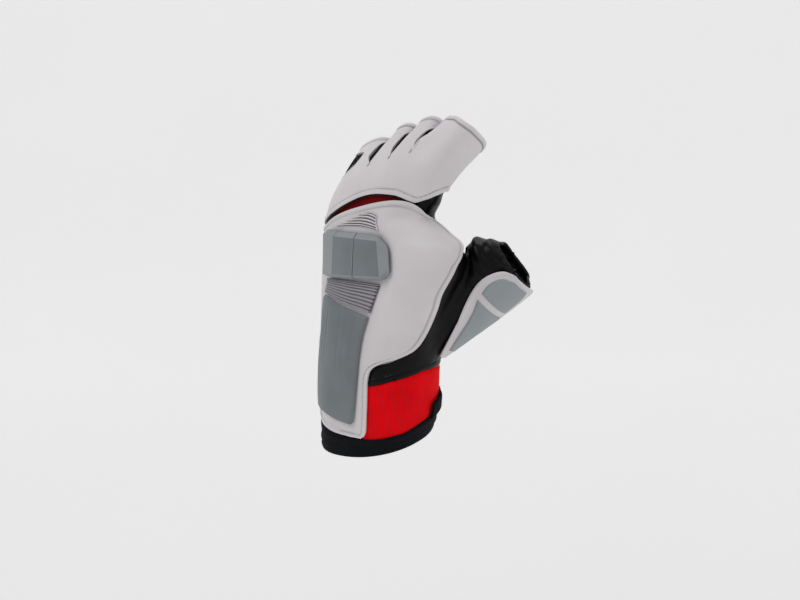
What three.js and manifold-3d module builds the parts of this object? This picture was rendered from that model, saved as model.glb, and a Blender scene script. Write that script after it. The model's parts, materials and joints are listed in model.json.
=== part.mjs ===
// A left-hand fingerless shooting glove in the form it has when it is worn.
// Millimetres. +Z runs from the wrist to the fingers, -Y is the back of the hand and +X the thumb side.
// The origin is the centre of the wrist opening.
import * as THREE from "three";
import { mergeVertices } from "three/addons/utils/BufferGeometryUtils.js";
import Module from "manifold-3d";

const wasm = await Module();
wasm.setup();

// Driving dimensions
const GAP = 0.35; // between neighbouring pieces
const PANEL = { inner: -0.6, outer: 1.2 }; // white leather on the back of the hand
const FINGER_PANEL = { inner: 0.25, outer: 1.4 }; // white leather on the fingers
const PALM = { inner: -2.2, outer: -0.3 }; // black leather of the palm
const KNIT = { inner: -2.0, outer: -0.3 }; // red knit of the wrist
const KNUCKLE = { inner: -2.4, outer: -1.0 }; // red knit in the knuckle slit
const GUSSET = { inner: -3.2, outer: -1.8 }; // black gusset beside the knuckle slit
const CUFF = { inner: -1.6, outer: 1.4 }; // padded band at the wrist opening
const STRAP = { inner: 0.1, outer: 1.6, tab: 2.8 }; // strap on the palm side of the wrist
const SLEEVE = { inner: -2.1, outer: -0.8 }; // black finger sleeves
const MESH = { inner: -0.4, outer: 0.3, margin: 1.5 }; // mesh windows between the fingers
const THUMB_WALL = { inner: -2.7, outer: -1.0 }; // black leather of the thumb
const THUMB_PAD = { inner: -0.5, outer: 0.7 };
const THUMB_INLAY = { inner: 1.05, outer: 2.1 };
const GUARD_BASE = 1.75; // underside of the moulded guard
const PLATE_HEIGHT = 3.8;
const PLATE_EDGE = 2.6;
const BLOCK_BASE = 2.1;
const BLOCK_HEIGHT = 7.2;
const BLOCK_EDGE = 4.4;
const RIB_LOW = 2.3;
const RIB_HIGH = 3.7;
const FINGER_CLEARANCE = 1.4; // from a finger's reference surface to the middle of the gap beside it
const FINGER_SQUARE = 2.6;

// Cross-sections of the hand, from the wrist opening to past the finger ends. Tilt leans a section
// towards the palm and roll lifts its thumb side, in degrees. Square is the superellipse power.
const BODY_ROWS = [
  { x: 0, y: 0, z: 3, tilt: -10, roll: 8, ulnar: 33, radial: 33.5, back: 29, palm: 28.5, square: 2.2 },
  { x: 0, y: 0, z: 20, tilt: -5, roll: 4, ulnar: 34.8, radial: 38, back: 31, palm: 31, square: 2.2 },
  { x: 0, y: 0, z: 45, tilt: 0, roll: 2, ulnar: 35.6, radial: 40, back: 30, palm: 31, square: 2.2 },
  { x: 0, y: 1, z: 68, tilt: 0, roll: 2, ulnar: 37.5, radial: 43, back: 26, palm: 31, square: 2.3 },
  { x: 0, y: 2, z: 90, tilt: 0, roll: 4, ulnar: 39.5, radial: 52, back: 23, palm: 31, square: 2.3 },
  { x: 0, y: 2, z: 106, tilt: 0, roll: 8, ulnar: 40.5, radial: 61, back: 21, palm: 29, square: 2.2 },
  { x: 0, y: 3, z: 121, tilt: 4, roll: 12, ulnar: 40.5, radial: 56, back: 20, palm: 25, square: 2.2 },
  { x: 0, y: 5, z: 138, tilt: 12, roll: 17, ulnar: 41, radial: 41, back: 18, palm: 21, square: 2.4 },
  { x: 0, y: 11, z: 152.5, tilt: 28, roll: 19, ulnar: 40.5, radial: 46, back: 17, palm: 21, square: 2.6 },
  { x: 0, y: 24, z: 165.5, tilt: 44, roll: 19, ulnar: 39.5, radial: 51, back: 16.5, palm: 20, square: 2.7 },
  { x: 0, y: 43.5, z: 180, tilt: 54, roll: 19, ulnar: 39, radial: 54, back: 16, palm: 18, square: 2.7 },
  { x: 0, y: 65, z: 194, tilt: 57, roll: 19, ulnar: 38, radial: 55, back: 15, palm: 16, square: 2.7 },
];

// The thumb side narrows by this much between the thumb and the index finger.
const WEB_NOTCH = [
  { v: 5.65, depth: 0 },
  { v: 5.8, depth: 2 },
  { v: 6.0, depth: 7 },
  { v: 6.3, depth: 10 },
  { v: 6.55, depth: 12 },
  { v: 6.8, depth: 5 },
  { v: 7.0, depth: 0 },
];

// Cross-sections of the thumb, from inside the palm to its open end
const THUMB_ROWS = [
  { x: 22, y: 11, z: 67, web: 28, outer: 20, back: 18, palm: 18, square: 2 },
  { x: 40, y: 22, z: 84, web: 27, outer: 19.5, back: 17, palm: 17, square: 2 },
  { x: 58, y: 32, z: 100, web: 24, outer: 19, back: 16, palm: 16, square: 2 },
  { x: 72, y: 40.5, z: 113, web: 21, outer: 18, back: 15, palm: 15, square: 2 },
];
const THUMB_BACK = new THREE.Vector3(0.62, -0.72, -0.3);

// The back of the hand is set back under the moulded guard by this much at each section.
const GUARD_SEAT = [
  { v: 0.35, depth: 0 },
  { v: 0.92, depth: 3.2 },
  { v: 3.6, depth: 3.6 },
  { v: 4.8, depth: 5.4 },
  { v: 6.0, depth: 5.2 },
  { v: 6.9, depth: 1.5 },
  { v: 7.3, depth: 0 },
];
const GUARD_CENTRE = -15; // degrees round the hand
const GUARD_SEAT_FLAT = 26;
const GUARD_SEAT_END = 50;

// Fingers: their limits across the hand as a share of its half widths, where they end and how far they
// lean to the side and narrow by each height above the slits
const FINGERS = [
  { name: "little", from: -1, to: -0.14, end: 9.46, lean: -5, narrow: 2.6 },
  { name: "ring", from: -0.14, to: 0.23, end: 9.56, lean: -3, narrow: 0 },
  { name: "middle", from: 0.23, to: 0.56, end: 9.52, lean: -2, narrow: 0 },
  { name: "index", from: 0.56, to: 1, end: 9.32, lean: 0, narrow: 0 },
];
const FINGER_SPLIT = { from: 8.6, to: 9.5, share: 0.6 };
const SLEEVE_START = 8.42;
const SLIT_START = 8.4;

// Half angle that the white leather covers round each finger, by height: it opens a lens beside the mesh
const COVER = [
  { v: 7.0, angle: 86 },
  { v: 8.38, angle: 86 },
  { v: 8.5, angle: 58 },
  { v: 8.7, angle: 42 },
  { v: 8.9, angle: 42 },
  { v: 9.1, angle: 56 },
  { v: 9.3, angle: 84 },
];

const CLOSED_COVER = 85; // between the middle and index fingers, where the leather only has a thin slit
const LITTLE_COVER = [
  { v: 7.0, angle: -112 },
  { v: 8.3, angle: -104 },
  { v: 8.44, angle: -60 },
  { v: 8.6, angle: -26 },
  { v: 8.8, angle: -8 },
  { v: 9.0, angle: -6 },
  { v: 9.12, angle: -22 },
  { v: 9.24, angle: -50 },
  { v: 9.36, angle: -80 },
];

// Edges as height against the angle round the hand
const CUFF_TOP = [
  { theta: -46, v: 0.84 },
  { theta: -25, v: 0.775 },
  { theta: -7, v: 0.735 },
  { theta: 10, v: 0.71 },
  { theta: 27, v: 0.705 },
  { theta: 40, v: 0.7 },
  { theta: 70, v: 0.76 },
  { theta: 87, v: 0.91 },
  { theta: 105, v: 1.04 },
  { theta: 125, v: 1.16 },
  { theta: 180, v: 1.2 },
  { theta: 240, v: 1.06 },
  { theta: 314, v: 0.84 },
];
const PALM_LOW = [
  { theta: 31, v: 1.96 },
  { theta: 56, v: 2.12 },
  { theta: 87, v: 2.27 },
  { theta: 110, v: 2.24 },
  { theta: 180, v: 2.1 },
  { theta: 250, v: 2.24 },
  { theta: 290, v: 2.1 },
  { theta: 314, v: 1.96 },
];
const FINGER_LOW = [
  { theta: -94, v: 6.78 },
  { theta: -44, v: 7.08 },
  { theta: -14, v: 7.27 },
  { theta: 0, v: 7.35 },
  { theta: 10, v: 7.32 },
  { theta: 34, v: 7.14 },
  { theta: 50, v: 6.96 },
  { theta: 63, v: 6.87 },
  { theta: 83, v: 6.98 },
  { theta: 108, v: 7.3 },
  { theta: 140, v: 7.5 },
];

// The white back panel, row by row from the foot of its stem to the knuckles
const BACK_ROWS = [
  { left: -54, vLeft: 0.89, vMid: 0.77, right: 26.5, vRight: 0.74 },
  { left: -55, vLeft: 1.08, vMid: 0.98, right: 28, vRight: 0.9 },
  { left: -56, vLeft: 1.6, vMid: 1.6, right: 28.5, vRight: 1.6 },
  { left: -56, vLeft: 2.26, vMid: 2.26, right: 27.5, vRight: 2.26 },
  { left: -60, vLeft: 2.52, vMid: 2.5, right: 38, vRight: 2.54 },
  { left: -70, vLeft: 2.76, vMid: 2.74, right: 56, vRight: 2.7 },
  { left: -82, vLeft: 3.1, vMid: 3.06, right: 72, vRight: 2.92 },
  { left: -92, vLeft: 3.6, vMid: 3.5, right: 80, vRight: 3.3 },
  { left: -94, vLeft: 4.0, vMid: 4.0, right: 82, vRight: 3.85 },
  { left: -94, vLeft: 4.5, vMid: 4.5, right: 80, vRight: 4.4 },
  { left: -94, vLeft: 5.0, vMid: 5.0, right: 86, vRight: 4.96 },
  { left: -94, vLeft: 5.4, vMid: 5.42, right: 96, vRight: 5.34 },
  { left: -94, vLeft: 5.7, vMid: 5.8, right: 104, vRight: 5.66 },
  { left: -92, vLeft: 6.0, vMid: 6.18, right: 107, vRight: 5.86 },
  { left: -88, vLeft: 6.3, vMid: 6.52, right: 107, vRight: 6.08 },
  { left: -82, vLeft: 6.5, vMid: 6.84, right: 104, vRight: 6.3 },
  { left: -76, vLeft: 6.68, vMid: 7.07, right: 98, vRight: 6.5 },
];
const PALM_SPLIT_ROW = 3; // the palm's leather begins beside this row

// The moulded guard, row by row
const PLATE_ROWS = [
  { left: -36, vLeft: 1.24, vMid: 1.14, right: 10, vRight: 1.06 },
  { left: -42, vLeft: 1.4, vMid: 1.28, right: 13.5, vRight: 1.2 },
  { left: -43, vLeft: 2.0, vMid: 2.0, right: 15.5, vRight: 2.0 },
  { left: -42, vLeft: 3.0, vMid: 3.0, right: 12, vRight: 3.0 },
  { left: -42, vLeft: 3.98, vMid: 3.84, right: 13.5, vRight: 3.62 },
];
const LOWER_RIBS = {
  count: 8,
  low: { left: -41, vLeft: 4.06, vMid: 3.92, right: 14, vRight: 3.72 },
  high: { left: -40, vLeft: 4.64, vMid: 4.66, right: 17, vRight: 4.58 },
};
const UPPER_RIBS = {
  count: 5,
  low: { left: -26, vLeft: 6.66, vMid: 6.54, right: 19, vRight: 6.28 },
  high: { left: 3, vLeft: 6.86, vMid: 6.82, right: 19, vRight: 6.7 },
};
const BLOCKS = [
  { name: "guard_block_ulnar", left: -40, right: -18.3, chamfer: "left" },
  { name: "guard_block_centre", left: -17.7, right: 0.7, chamfer: "none" },
  { name: "guard_block_radial", left: 1.3, right: 24.5, chamfer: "right" },
];
const BLOCK_LOW = 4.74;
const BLOCK_HIGH = 6.12;
const BLOCK_RISE = 0.0085; // by each degree towards the little finger
const BLOCK_BEVEL = { v: 0.14, theta: 5.6, corner: 0.24 };

// The teardrop pad on the thumb and its two inlays, row by row
const PAD_ROWS = [
  { left: -56, right: -38, v: 0.34 },
  { left: -62, right: -14, v: 0.8 },
  { left: -64, right: 2, v: 1.2 },
  { left: -65, right: 23, v: 1.86 },
  { left: -65, right: 28, v: 2.3 },
  { left: -62, right: 20, v: 2.72 },
  { left: -52, right: 2, v: 2.93 },
];
const INLAY_BASE_ROWS = [
  { left: -54, right: -40, v: 0.56 },
  { left: -56, right: -26, v: 0.84 },
  { left: -57, right: -10, v: 1.3 },
  { left: -57, right: 9, v: 1.8 },
];
const INLAY_TIP_ROWS = [
  { left: -57, right: 12, v: 1.96 },
  { left: -57, right: 17, v: 2.26 },
  { left: -54, right: 12, v: 2.56 },
  { left: -44, right: -4, v: 2.74 },
];

// Sections and surface points
const radians = (degrees) => (degrees * Math.PI) / 180;
const power = (value, exponent) => Math.sign(value) * Math.abs(value) ** exponent;
const smooth = (t) => {
  const c = Math.min(1, Math.max(0, t));
  return c * c * (3 - 2 * c);
};

function splineRow(table, v) {
  const last = table.length - 1;
  const clamped = Math.min(last, Math.max(0, v));
  const i = Math.min(last - 1, Math.floor(clamped));
  const t = clamped - i;
  const before = table[Math.max(0, i - 1)];
  const after = table[Math.min(last, i + 2)];
  const row = {};
  for (const key of Object.keys(table[0])) {
    const [p0, p1, p2, p3] = [before[key], table[i][key], table[i + 1][key], after[key]];
    const m1 = (p2 - p0) / 2;
    const m2 = (p3 - p1) / 2;
    row[key] =
      (2 * t ** 3 - 3 * t ** 2 + 1) * p1 +
      (t ** 3 - 2 * t ** 2 + t) * m1 +
      (-2 * t ** 3 + 3 * t ** 2) * p2 +
      (t ** 3 - t ** 2) * m2;
  }
  return row;
}

function look(table, key, at, value) {
  if (at <= table[0][key]) return table[0][value];
  for (let i = 1; i < table.length; i += 1) {
    if (at <= table[i][key]) {
      const t = (at - table[i - 1][key]) / (table[i][key] - table[i - 1][key]);
      return table[i - 1][value] + t * (table[i][value] - table[i - 1][value]);
    }
  }
  return table[table.length - 1][value];
}

function handRow(v) {
  const row = splineRow(BODY_ROWS, v);
  row.radial -= look(WEB_NOTCH, "v", v, "depth");
  return row;
}

// A point of a section at X across and Y towards the palm
function inSection(row, X, Y) {
  return new THREE.Vector3(
    row.x + X,
    row.y + Y * Math.cos(radians(row.tilt)),
    row.z + X * Math.tan(radians(row.roll)) - Y * Math.sin(radians(row.tilt)),
  );
}

function seat(theta, v) {
  const away = Math.abs(((theta - GUARD_CENTRE + 540) % 360) - 180);
  if (away > GUARD_SEAT_END) return 0;
  const share = 1 - smooth((away - GUARD_SEAT_FLAT) / (GUARD_SEAT_END - GUARD_SEAT_FLAT));
  return share * look(GUARD_SEAT, "v", v, "depth");
}

// The hand at an angle round it: 0 is the back, 90 the thumb side, 180 the palm
function handPoint(theta, v, offset) {
  const row = handRow(v);
  const s = Math.sin(radians(theta));
  const c = Math.cos(radians(theta));
  const wide = (s >= 0 ? row.radial : row.ulnar) + offset;
  const deep = (c >= 0 ? row.back : row.palm) + offset;
  const X = wide * power(s, 2 / row.square);
  const Y = -deep * power(c, 2 / row.square) + seat(theta, v);
  return inSection(row, X, Y);
}

// A finger at an angle round it. Low down the fingers still share the hand's own section.
function fingerShape(finger, v) {
  const row = handRow(v);
  const at = (share) => share * (share < 0 ? row.ulnar : row.radial);
  const low = at(finger.from) - (finger.from === -1 ? FINGER_CLEARANCE : 0);
  const high = at(finger.to) + (finger.to === 1 ? FINGER_CLEARANCE : 0);
  const lean = finger.lean * Math.max(0, v - SLIT_START);
  const narrow = finger.narrow * smooth(v - SLIT_START);
  const centre = (low + high) / 2 + lean + narrow;
  return { row, lean, centre, half: (high - low) / 2 - FINGER_CLEARANCE - narrow };
}

function depthAt(row, X, offset, side) {
  const wide = (X >= 0 ? row.radial : row.ulnar) + offset;
  const share = Math.min(1, Math.abs(X) / wide);
  return (row[side] + offset) * (1 - share ** row.square) ** (1 / row.square);
}

function fingerPoint(finger, phi, v, offset) {
  const { row, lean, centre, half } = fingerShape(finger, v);
  const s = Math.sin(radians(phi));
  const c = Math.cos(radians(phi));
  const side = c >= 0 ? "back" : "palm";
  const X = centre + (half + offset) * power(s, 2 / FINGER_SQUARE);
  const shared = depthAt(row, X - lean, offset, side);
  const own = (depthAt(row, centre - lean, 0, side) + offset) * Math.abs(c) ** (2 / FINGER_SQUARE);
  const { from, to, share } = FINGER_SPLIT;
  const split = share * smooth((v - from) / (to - from));
  const deep = shared + split * (own - shared);
  return inSection(row, X, c >= 0 ? -deep : deep);
}

const thumbAxis = new THREE.Vector3(
  THUMB_ROWS[3].x - THUMB_ROWS[0].x,
  THUMB_ROWS[3].y - THUMB_ROWS[0].y,
  THUMB_ROWS[3].z - THUMB_ROWS[0].z,
).normalize();
const thumbBack = THUMB_BACK.clone()
  .addScaledVector(thumbAxis, -THUMB_BACK.dot(thumbAxis))
  .normalize();
const thumbWeb = new THREE.Vector3().crossVectors(thumbAxis, thumbBack);
if (thumbWeb.z < 0) thumbWeb.negate();

// The thumb at an angle round it: 0 is its back, 90 the web side
function thumbPoint(theta, v, offset) {
  const row = splineRow(THUMB_ROWS, v);
  const s = Math.sin(radians(theta));
  const c = Math.cos(radians(theta));
  const wide = (s >= 0 ? row.web : row.outer) + offset;
  const deep = (c >= 0 ? row.back : row.palm) + offset;
  return new THREE.Vector3(row.x, row.y, row.z)
    .addScaledVector(thumbWeb, wide * power(s, 2 / row.square))
    .addScaledVector(thumbBack, deep * power(c, 2 / row.square));
}

// Closed solids
function geometryOf(points, triangles) {
  const flat = [];
  let volume = 0;
  for (const [a, b, c] of triangles) {
    const [p, q, r] = [points[a], points[b], points[c]];
    volume += p.dot(new THREE.Vector3().crossVectors(q, r));
  }
  for (const [a, b, c] of triangles) {
    for (const i of volume < 0 ? [a, c, b] : [a, b, c]) flat.push(...points[i].toArray());
  }
  const loose = new THREE.BufferGeometry();
  loose.setAttribute("position", new THREE.Float32BufferAttribute(flat, 3));
  const geometry = mergeVertices(loose, 1e-3);
  geometry.computeVertexNormals();
  return geometry;
}

// A wall between two grids of points. Cells that keep() refuses are left open, and a ring closes on itself.
function wall(outer, inner, keep = () => true, ring = false) {
  const rows = outer.length;
  const columns = outer[0].length;
  const points = [...outer.flat(), ...inner.flat()];
  const across = ring ? columns : columns - 1;
  const id = (layer, r, c) => layer * rows * columns + r * columns + (c % columns);
  const kept = (r, c) => {
    if (r < 0 || r >= rows - 1) return false;
    if (!ring && (c < 0 || c >= across)) return false;
    return keep(r, (c + across) % across);
  };
  const triangles = [];
  const quad = (a, b, c, d) => triangles.push([a, b, c], [a, c, d]);
  for (let r = 0; r < rows - 1; r += 1) {
    for (let c = 0; c < across; c += 1) {
      if (!kept(r, c)) continue;
      quad(id(0, r, c), id(0, r, c + 1), id(0, r + 1, c + 1), id(0, r + 1, c));
      quad(id(1, r, c), id(1, r + 1, c), id(1, r + 1, c + 1), id(1, r, c + 1));
      if (!kept(r - 1, c)) quad(id(1, r, c), id(1, r, c + 1), id(0, r, c + 1), id(0, r, c));
      if (!kept(r + 1, c)) {
        quad(id(0, r + 1, c), id(0, r + 1, c + 1), id(1, r + 1, c + 1), id(1, r + 1, c));
      }
      if (!kept(r, c - 1)) quad(id(1, r, c), id(0, r, c), id(0, r + 1, c), id(1, r + 1, c));
      if (!kept(r, c + 1)) {
        quad(id(0, r, c + 1), id(1, r, c + 1), id(1, r + 1, c + 1), id(0, r + 1, c + 1));
      }
    }
  }
  return geometryOf(points, triangles);
}

// A full solid through a stack of rings, closed at both ends
function stack(rings) {
  const n = rings[0].length;
  const points = rings.flat();
  const triangles = [];
  for (let r = 0; r < rings.length - 1; r += 1) {
    for (let c = 0; c < n; c += 1) {
      const next = (c + 1) % n;
      triangles.push([r * n + c, r * n + next, (r + 1) * n + next]);
      triangles.push([r * n + c, (r + 1) * n + next, (r + 1) * n + c]);
    }
  }
  const centre = (ring) =>
    ring.reduce((sum, p) => sum.add(p), new THREE.Vector3()).divideScalar(ring.length);
  const low = points.push(centre(rings[0])) - 1;
  const high = points.push(centre(rings[rings.length - 1])) - 1;
  const top = (rings.length - 1) * n;
  for (let c = 0; c < n; c += 1) {
    triangles.push([low, (c + 1) % n, c]);
    triangles.push([high, top + c, top + ((c + 1) % n)]);
  }
  return geometryOf(points, triangles);
}

function toSolid(geometry) {
  const plain = new THREE.BufferGeometry();
  plain.setAttribute("position", geometry.getAttribute("position").clone());
  if (geometry.index) plain.setIndex(geometry.index.clone());
  const merged = mergeVertices(plain, 1e-3);
  const triVerts = new Uint32Array(merged.index.array);
  const vertProperties = new Float32Array(merged.attributes.position.array);
  return new wasm.Manifold(new wasm.Mesh({ numProp: 3, vertProperties, triVerts }));
}

function toGeometry(solid) {
  const mesh = solid.getMesh();
  const geometry = new THREE.BufferGeometry();
  geometry.setAttribute("position", new THREE.Float32BufferAttribute(mesh.vertProperties, 3));
  geometry.setIndex([...mesh.triVerts]);
  geometry.computeVertexNormals();
  return geometry;
}

const steps = (from, to, count) =>
  Array.from({ length: count + 1 }, (_, i) => from + ((to - from) * i) / count);

// A patch of the hand from a table of rows. Each row runs from its left to its right angle, and its
// height passes through three values.
function patchPoint(row, t, offset, place) {
  const theta = row.left + (row.right - row.left) * t;
  const v =
    row.vMid === undefined
      ? row.v
      : row.vLeft * (2 * t - 1) * (t - 1) + row.vMid * 4 * t * (1 - t) + row.vRight * t * (2 * t - 1);
  return place(theta, v, typeof offset === "function" ? offset(t) : offset);
}

function patch(rows, shares, inner, outer, place = handPoint) {
  const grid = (offset) =>
    rows.map((row, r) => {
      const at = typeof offset === "function" ? (t) => offset(t, r / (rows.length - 1), r) : offset;
      return shares.map((t) => patchPoint(row, t, at, place));
    });
  return wall(grid(outer), grid(inner));
}

function mixRow(a, b, t) {
  const row = {};
  for (const key of Object.keys(a)) row[key] = a[key] + (b[key] - a[key]) * t;
  return row;
}

// A band round the hand between two heights that vary with the angle
function band(from, to, columns, low, high, levels, inner, outer, ring = false) {
  const thetas = steps(from, to, columns).slice(0, ring ? columns : columns + 1);
  const grid = (offset) =>
    steps(0, 1, levels).map((t) =>
      thetas.map((theta) => {
        const v = low(theta) + (high(theta) - low(theta)) * t;
        return handPoint(theta, v, typeof offset === "function" ? offset(t, theta) : offset);
      }),
    );
  return wall(grid(outer), grid(inner), () => true, ring);
}

// Materials
const material = (color, roughness, metalness = 0) =>
  new THREE.MeshStandardMaterial({ color, roughness, metalness });
const looks = {
  whiteLeather: () => material("#dcd8dc", 0.55),
  blackLeather: () => material("#101014", 0.38),
  redKnit: () => material("#d80418", 0.85),
  blackKnit: () => material("#15161a", 0.8),
  blackMesh: () => material("#17191a", 0.9),
  guard: () => material("#7d8588", 0.5),
  paleGuard: () => material("#b4b4b8", 0.5),
};

const group = new THREE.Group();
group.name = "shooting_glove";
function add(name, geometry, look) {
  const mesh = new THREE.Mesh(geometry, look());
  mesh.name = name;
  group.add(mesh);
}

// Wrist
const wrapped = (theta) => (theta > 314 ? theta - 360 : theta);
const cuffTop = (theta) => look(CUFF_TOP, "theta", wrapped(theta), "v");
add(
  "cuff",
  band(-46, 314, 36, () => 0, (theta) => cuffTop(theta) - 0.02, 2, CUFF.inner, CUFF.outer, true),
  looks.blackKnit,
);
const knitFrom = BACK_ROWS[2].right + 0.7;
const knitTo = 360 + BACK_ROWS[2].left - 0.7;
add(
  "wrist_knit",
  band(
    knitFrom,
    knitTo,
    26,
    (theta) => cuffTop(theta) + 0.02,
    (theta) => look(PALM_LOW, "theta", theta, "v") - 0.02,
    3,
    KNIT.inner,
    KNIT.outer,
  ),
  looks.redKnit,
);
add(
  "wrist_strap",
  band(
    101,
    230,
    14,
    (theta) => cuffTop(theta) + 0.09,
    (theta) => cuffTop(theta) + 0.52,
    1,
    STRAP.inner,
    (t, theta) => (theta < 125 ? STRAP.tab : STRAP.outer),
  ),
  looks.blackKnit,
);

// The back panel and the palm beside it
add("back_panel", patch(BACK_ROWS, steps(0, 1, 26), PANEL.inner, PANEL.outer), looks.whiteLeather);

const grown = (rows, degrees, height) =>
  rows.map((row, i) => {
    const lift = i === 0 ? -height : i === rows.length - 1 ? height : 0;
    return {
      left: row.left - degrees,
      right: row.right + degrees,
      vLeft: row.vLeft + lift,
      vMid: row.vMid + lift,
      vRight: row.vRight + lift,
    };
  });
const panelRoom = toSolid(
  patch(grown(BACK_ROWS, 1.2, 0.03), steps(0, 1, 20), PANEL.inner - 1.4, PANEL.outer + 0.5),
);

const palmLow = {
  left: BACK_ROWS[2].right + 0.7,
  vLeft: PALM_LOW[0].v,
  right: 360 + BACK_ROWS[2].left - 0.7,
  vRight: PALM_LOW[7].v,
};
const palmColumns = 20;
const palmShares = steps(0, 1, palmColumns);
const fingerLow = (theta) => look(FINGER_LOW, "theta", theta > 180 ? theta - 360 : theta, "v");
const PALM_HIGH = 8.3;
const palmRows = [];
palmRows.push(
  palmShares.map((t) => {
    const theta = palmLow.left + (palmLow.right - palmLow.left) * t;
    return { theta, v: look(PALM_LOW, "theta", theta, "v") + 0.02 };
  }),
);
BACK_ROWS.slice(PALM_SPLIT_ROW, PALM_SPLIT_ROW + 11).forEach((row) => {
  const left = row.right + 0.7;
  const right = 360 + row.left - 0.7;
  palmRows.push(
    palmShares.map((t) => {
      const v = row.vRight + (row.vLeft - row.vRight) * t;
      return { theta: left + (right - left) * t, v };
    }),
  );
});
const PALM_TOP = [
  { left: 107.7, vLeft: 6.08, right: 268, vRight: 6.3 },
  { left: 104.9, vLeft: 6.3, right: 266, vRight: 6.45 },
  { left: 99.4, vLeft: 6.52, right: 263, vRight: 6.62 },
  { left: 100.6, vLeft: 6.85, right: 260, vRight: 6.85 },
  { left: 103.5, vLeft: 7.3, right: 256, vRight: 7.1 },
  { left: 114, vLeft: 7.8, right: 252, vRight: 7.7 },
  { left: 120, vLeft: PALM_HIGH, right: 250, vRight: PALM_HIGH },
];
PALM_TOP.forEach((row) => {
  palmRows.push(
    palmShares.map((t) => ({
      theta: row.left + (row.right - row.left) * t,
      v: row.vLeft + (row.vRight - row.vLeft) * t,
    })),
  );
});
const palmGrid = (offset) =>
  palmRows.map((row) => row.map(({ theta, v }) => handPoint(theta, v, offset)));
const palmWall = wall(palmGrid(PALM.outer), palmGrid(PALM.inner));

// The thumb, and the way from the palm into it
const ringAngles = (count) => steps(0, 360, count).slice(0, count);
const thumbRings = (offset, from, to, count) =>
  steps(from, to, count).map((v) => ringAngles(24).map((theta) => thumbPoint(theta, v, offset)));
const extend = (rings, distance) => [
  ...rings,
  rings[rings.length - 1].map((p) => p.clone().addScaledVector(thumbAxis, distance)),
];
const thumbOutside = toSolid(stack(thumbRings(THUMB_WALL.outer, 0, 3, 7)));
const thumbHollow = toSolid(stack(extend(thumbRings(THUMB_WALL.inner, 0, 3, 7), 5)));
const handRings = (offset) =>
  steps(0.5, 8, 15).map((v) => ringAngles(40).map((theta) => handPoint(theta, v, offset)));
const handRoom = toSolid(stack(handRings(PALM.outer + GAP)));
add("palm", toGeometry(toSolid(palmWall).subtract(thumbHollow)), looks.blackLeather);
add(
  "thumb_sleeve",
  toGeometry(thumbOutside.subtract(thumbHollow).subtract(handRoom).subtract(panelRoom)),
  looks.blackLeather,
);

// Knuckle slit and gusset, which tuck under both panels
const backTop = BACK_ROWS[BACK_ROWS.length - 1];
const backTopAt = (theta) => {
  const t = (theta - backTop.left) / (backTop.right - backTop.left);
  const { vLeft, vMid, vRight } = backTop;
  return vLeft * (2 * t - 1) * (t - 1) + vMid * 4 * t * (1 - t) + vRight * t * (2 * t - 1);
};
add(
  "knuckle_knit",
  band(
    -74,
    50,
    18,
    (theta) => backTopAt(theta) - 0.16,
    (theta) => fingerLow(theta) + 0.16,
    2,
    KNUCKLE.inner,
    KNUCKLE.outer,
  ),
  looks.redKnit,
);
const gussetLow = (theta) => backTopAt(theta) - 0.1;
const gussetGrid = (offset) =>
  steps(0, 1, 4).map((s) =>
    steps(0, 1, 7).map((t) => {
      const low = 53 + 43 * t;
      const high = 53 + 50 * t;
      const v = gussetLow(low) + (fingerLow(high) + 0.14 - gussetLow(low)) * s;
      return handPoint(low + (high - low) * s, v, offset);
    }),
  );
add("side_gusset", wall(gussetGrid(GUSSET.outer), gussetGrid(GUSSET.inner)), looks.blackLeather);

// Finger panel: one sheet of white leather that splits into four, one over each finger
const cover = (finger, v) => look(COVER, "v", v, "angle");
const panelColumns = [];
FINGERS.forEach((finger, i) => {
  const first = i === 0;
  const last = i === FINGERS.length - 1;
  const left = (v) => {
    if (first) return look(LITTLE_COVER, "v", v, "angle");
    return last ? -CLOSED_COVER : -cover(finger, v);
  };
  const right = (v) => (i === 2 ? CLOSED_COVER : cover(finger, v));
  steps(0, 1, 6).forEach((t) => {
    const angle = last
      ? (v) => left(v) + (90 - left(v)) * t
      : (v) => left(v) + (right(v) - left(v)) * t;
    panelColumns.push({ finger, angle, edge: t === 1 && !last });
  });
});
for (const angle of [112, 132, 150, 165]) {
  panelColumns.push({ finger: FINGERS[3], angle: () => angle, edge: false });
}
const lowEdgeOf = (column) => {
  const { row, centre, half } = fingerShape(column.finger, 7.2);
  const phi = column.angle(7.2);
  const X = centre + half * power(Math.sin(radians(phi)), 2 / FINGER_SQUARE);
  const share = Math.min(1, Math.abs(X) / (X < 0 ? row.ulnar : row.radial));
  const turn = THREE.MathUtils.radToDeg(Math.asin(share ** (row.square / 2)));
  const theta = Math.sign(X) * (Math.abs(phi) > 90 ? 180 - turn : turn);
  return fingerLow(theta);
};
const panelGrid = (offset) => {
  const rows = [];
  const point = (column, v) => fingerPoint(column.finger, column.angle(v), v, offset);
  for (const t of [0, 0.25, 0.5, 0.75, 1]) {
    rows.push(
      panelColumns.map((column) => {
        const low = lowEdgeOf(column);
        return point(column, low + (SLIT_START - low) * t);
      }),
    );
  }
  for (const t of [0.08, 0.2, 0.34, 0.5, 0.62, 0.74, 0.84, 0.92, 1]) {
    rows.push(
      panelColumns.map((column) => {
        return point(column, SLIT_START + (column.finger.end - SLIT_START) * t);
      }),
    );
  }
  return rows;
};
add(
  "finger_panel",
  wall(panelGrid(FINGER_PANEL.outer), panelGrid(FINGER_PANEL.inner), (r, c) => {
    return r < 4 || !panelColumns[c].edge;
  }),
  looks.whiteLeather,
);

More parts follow.
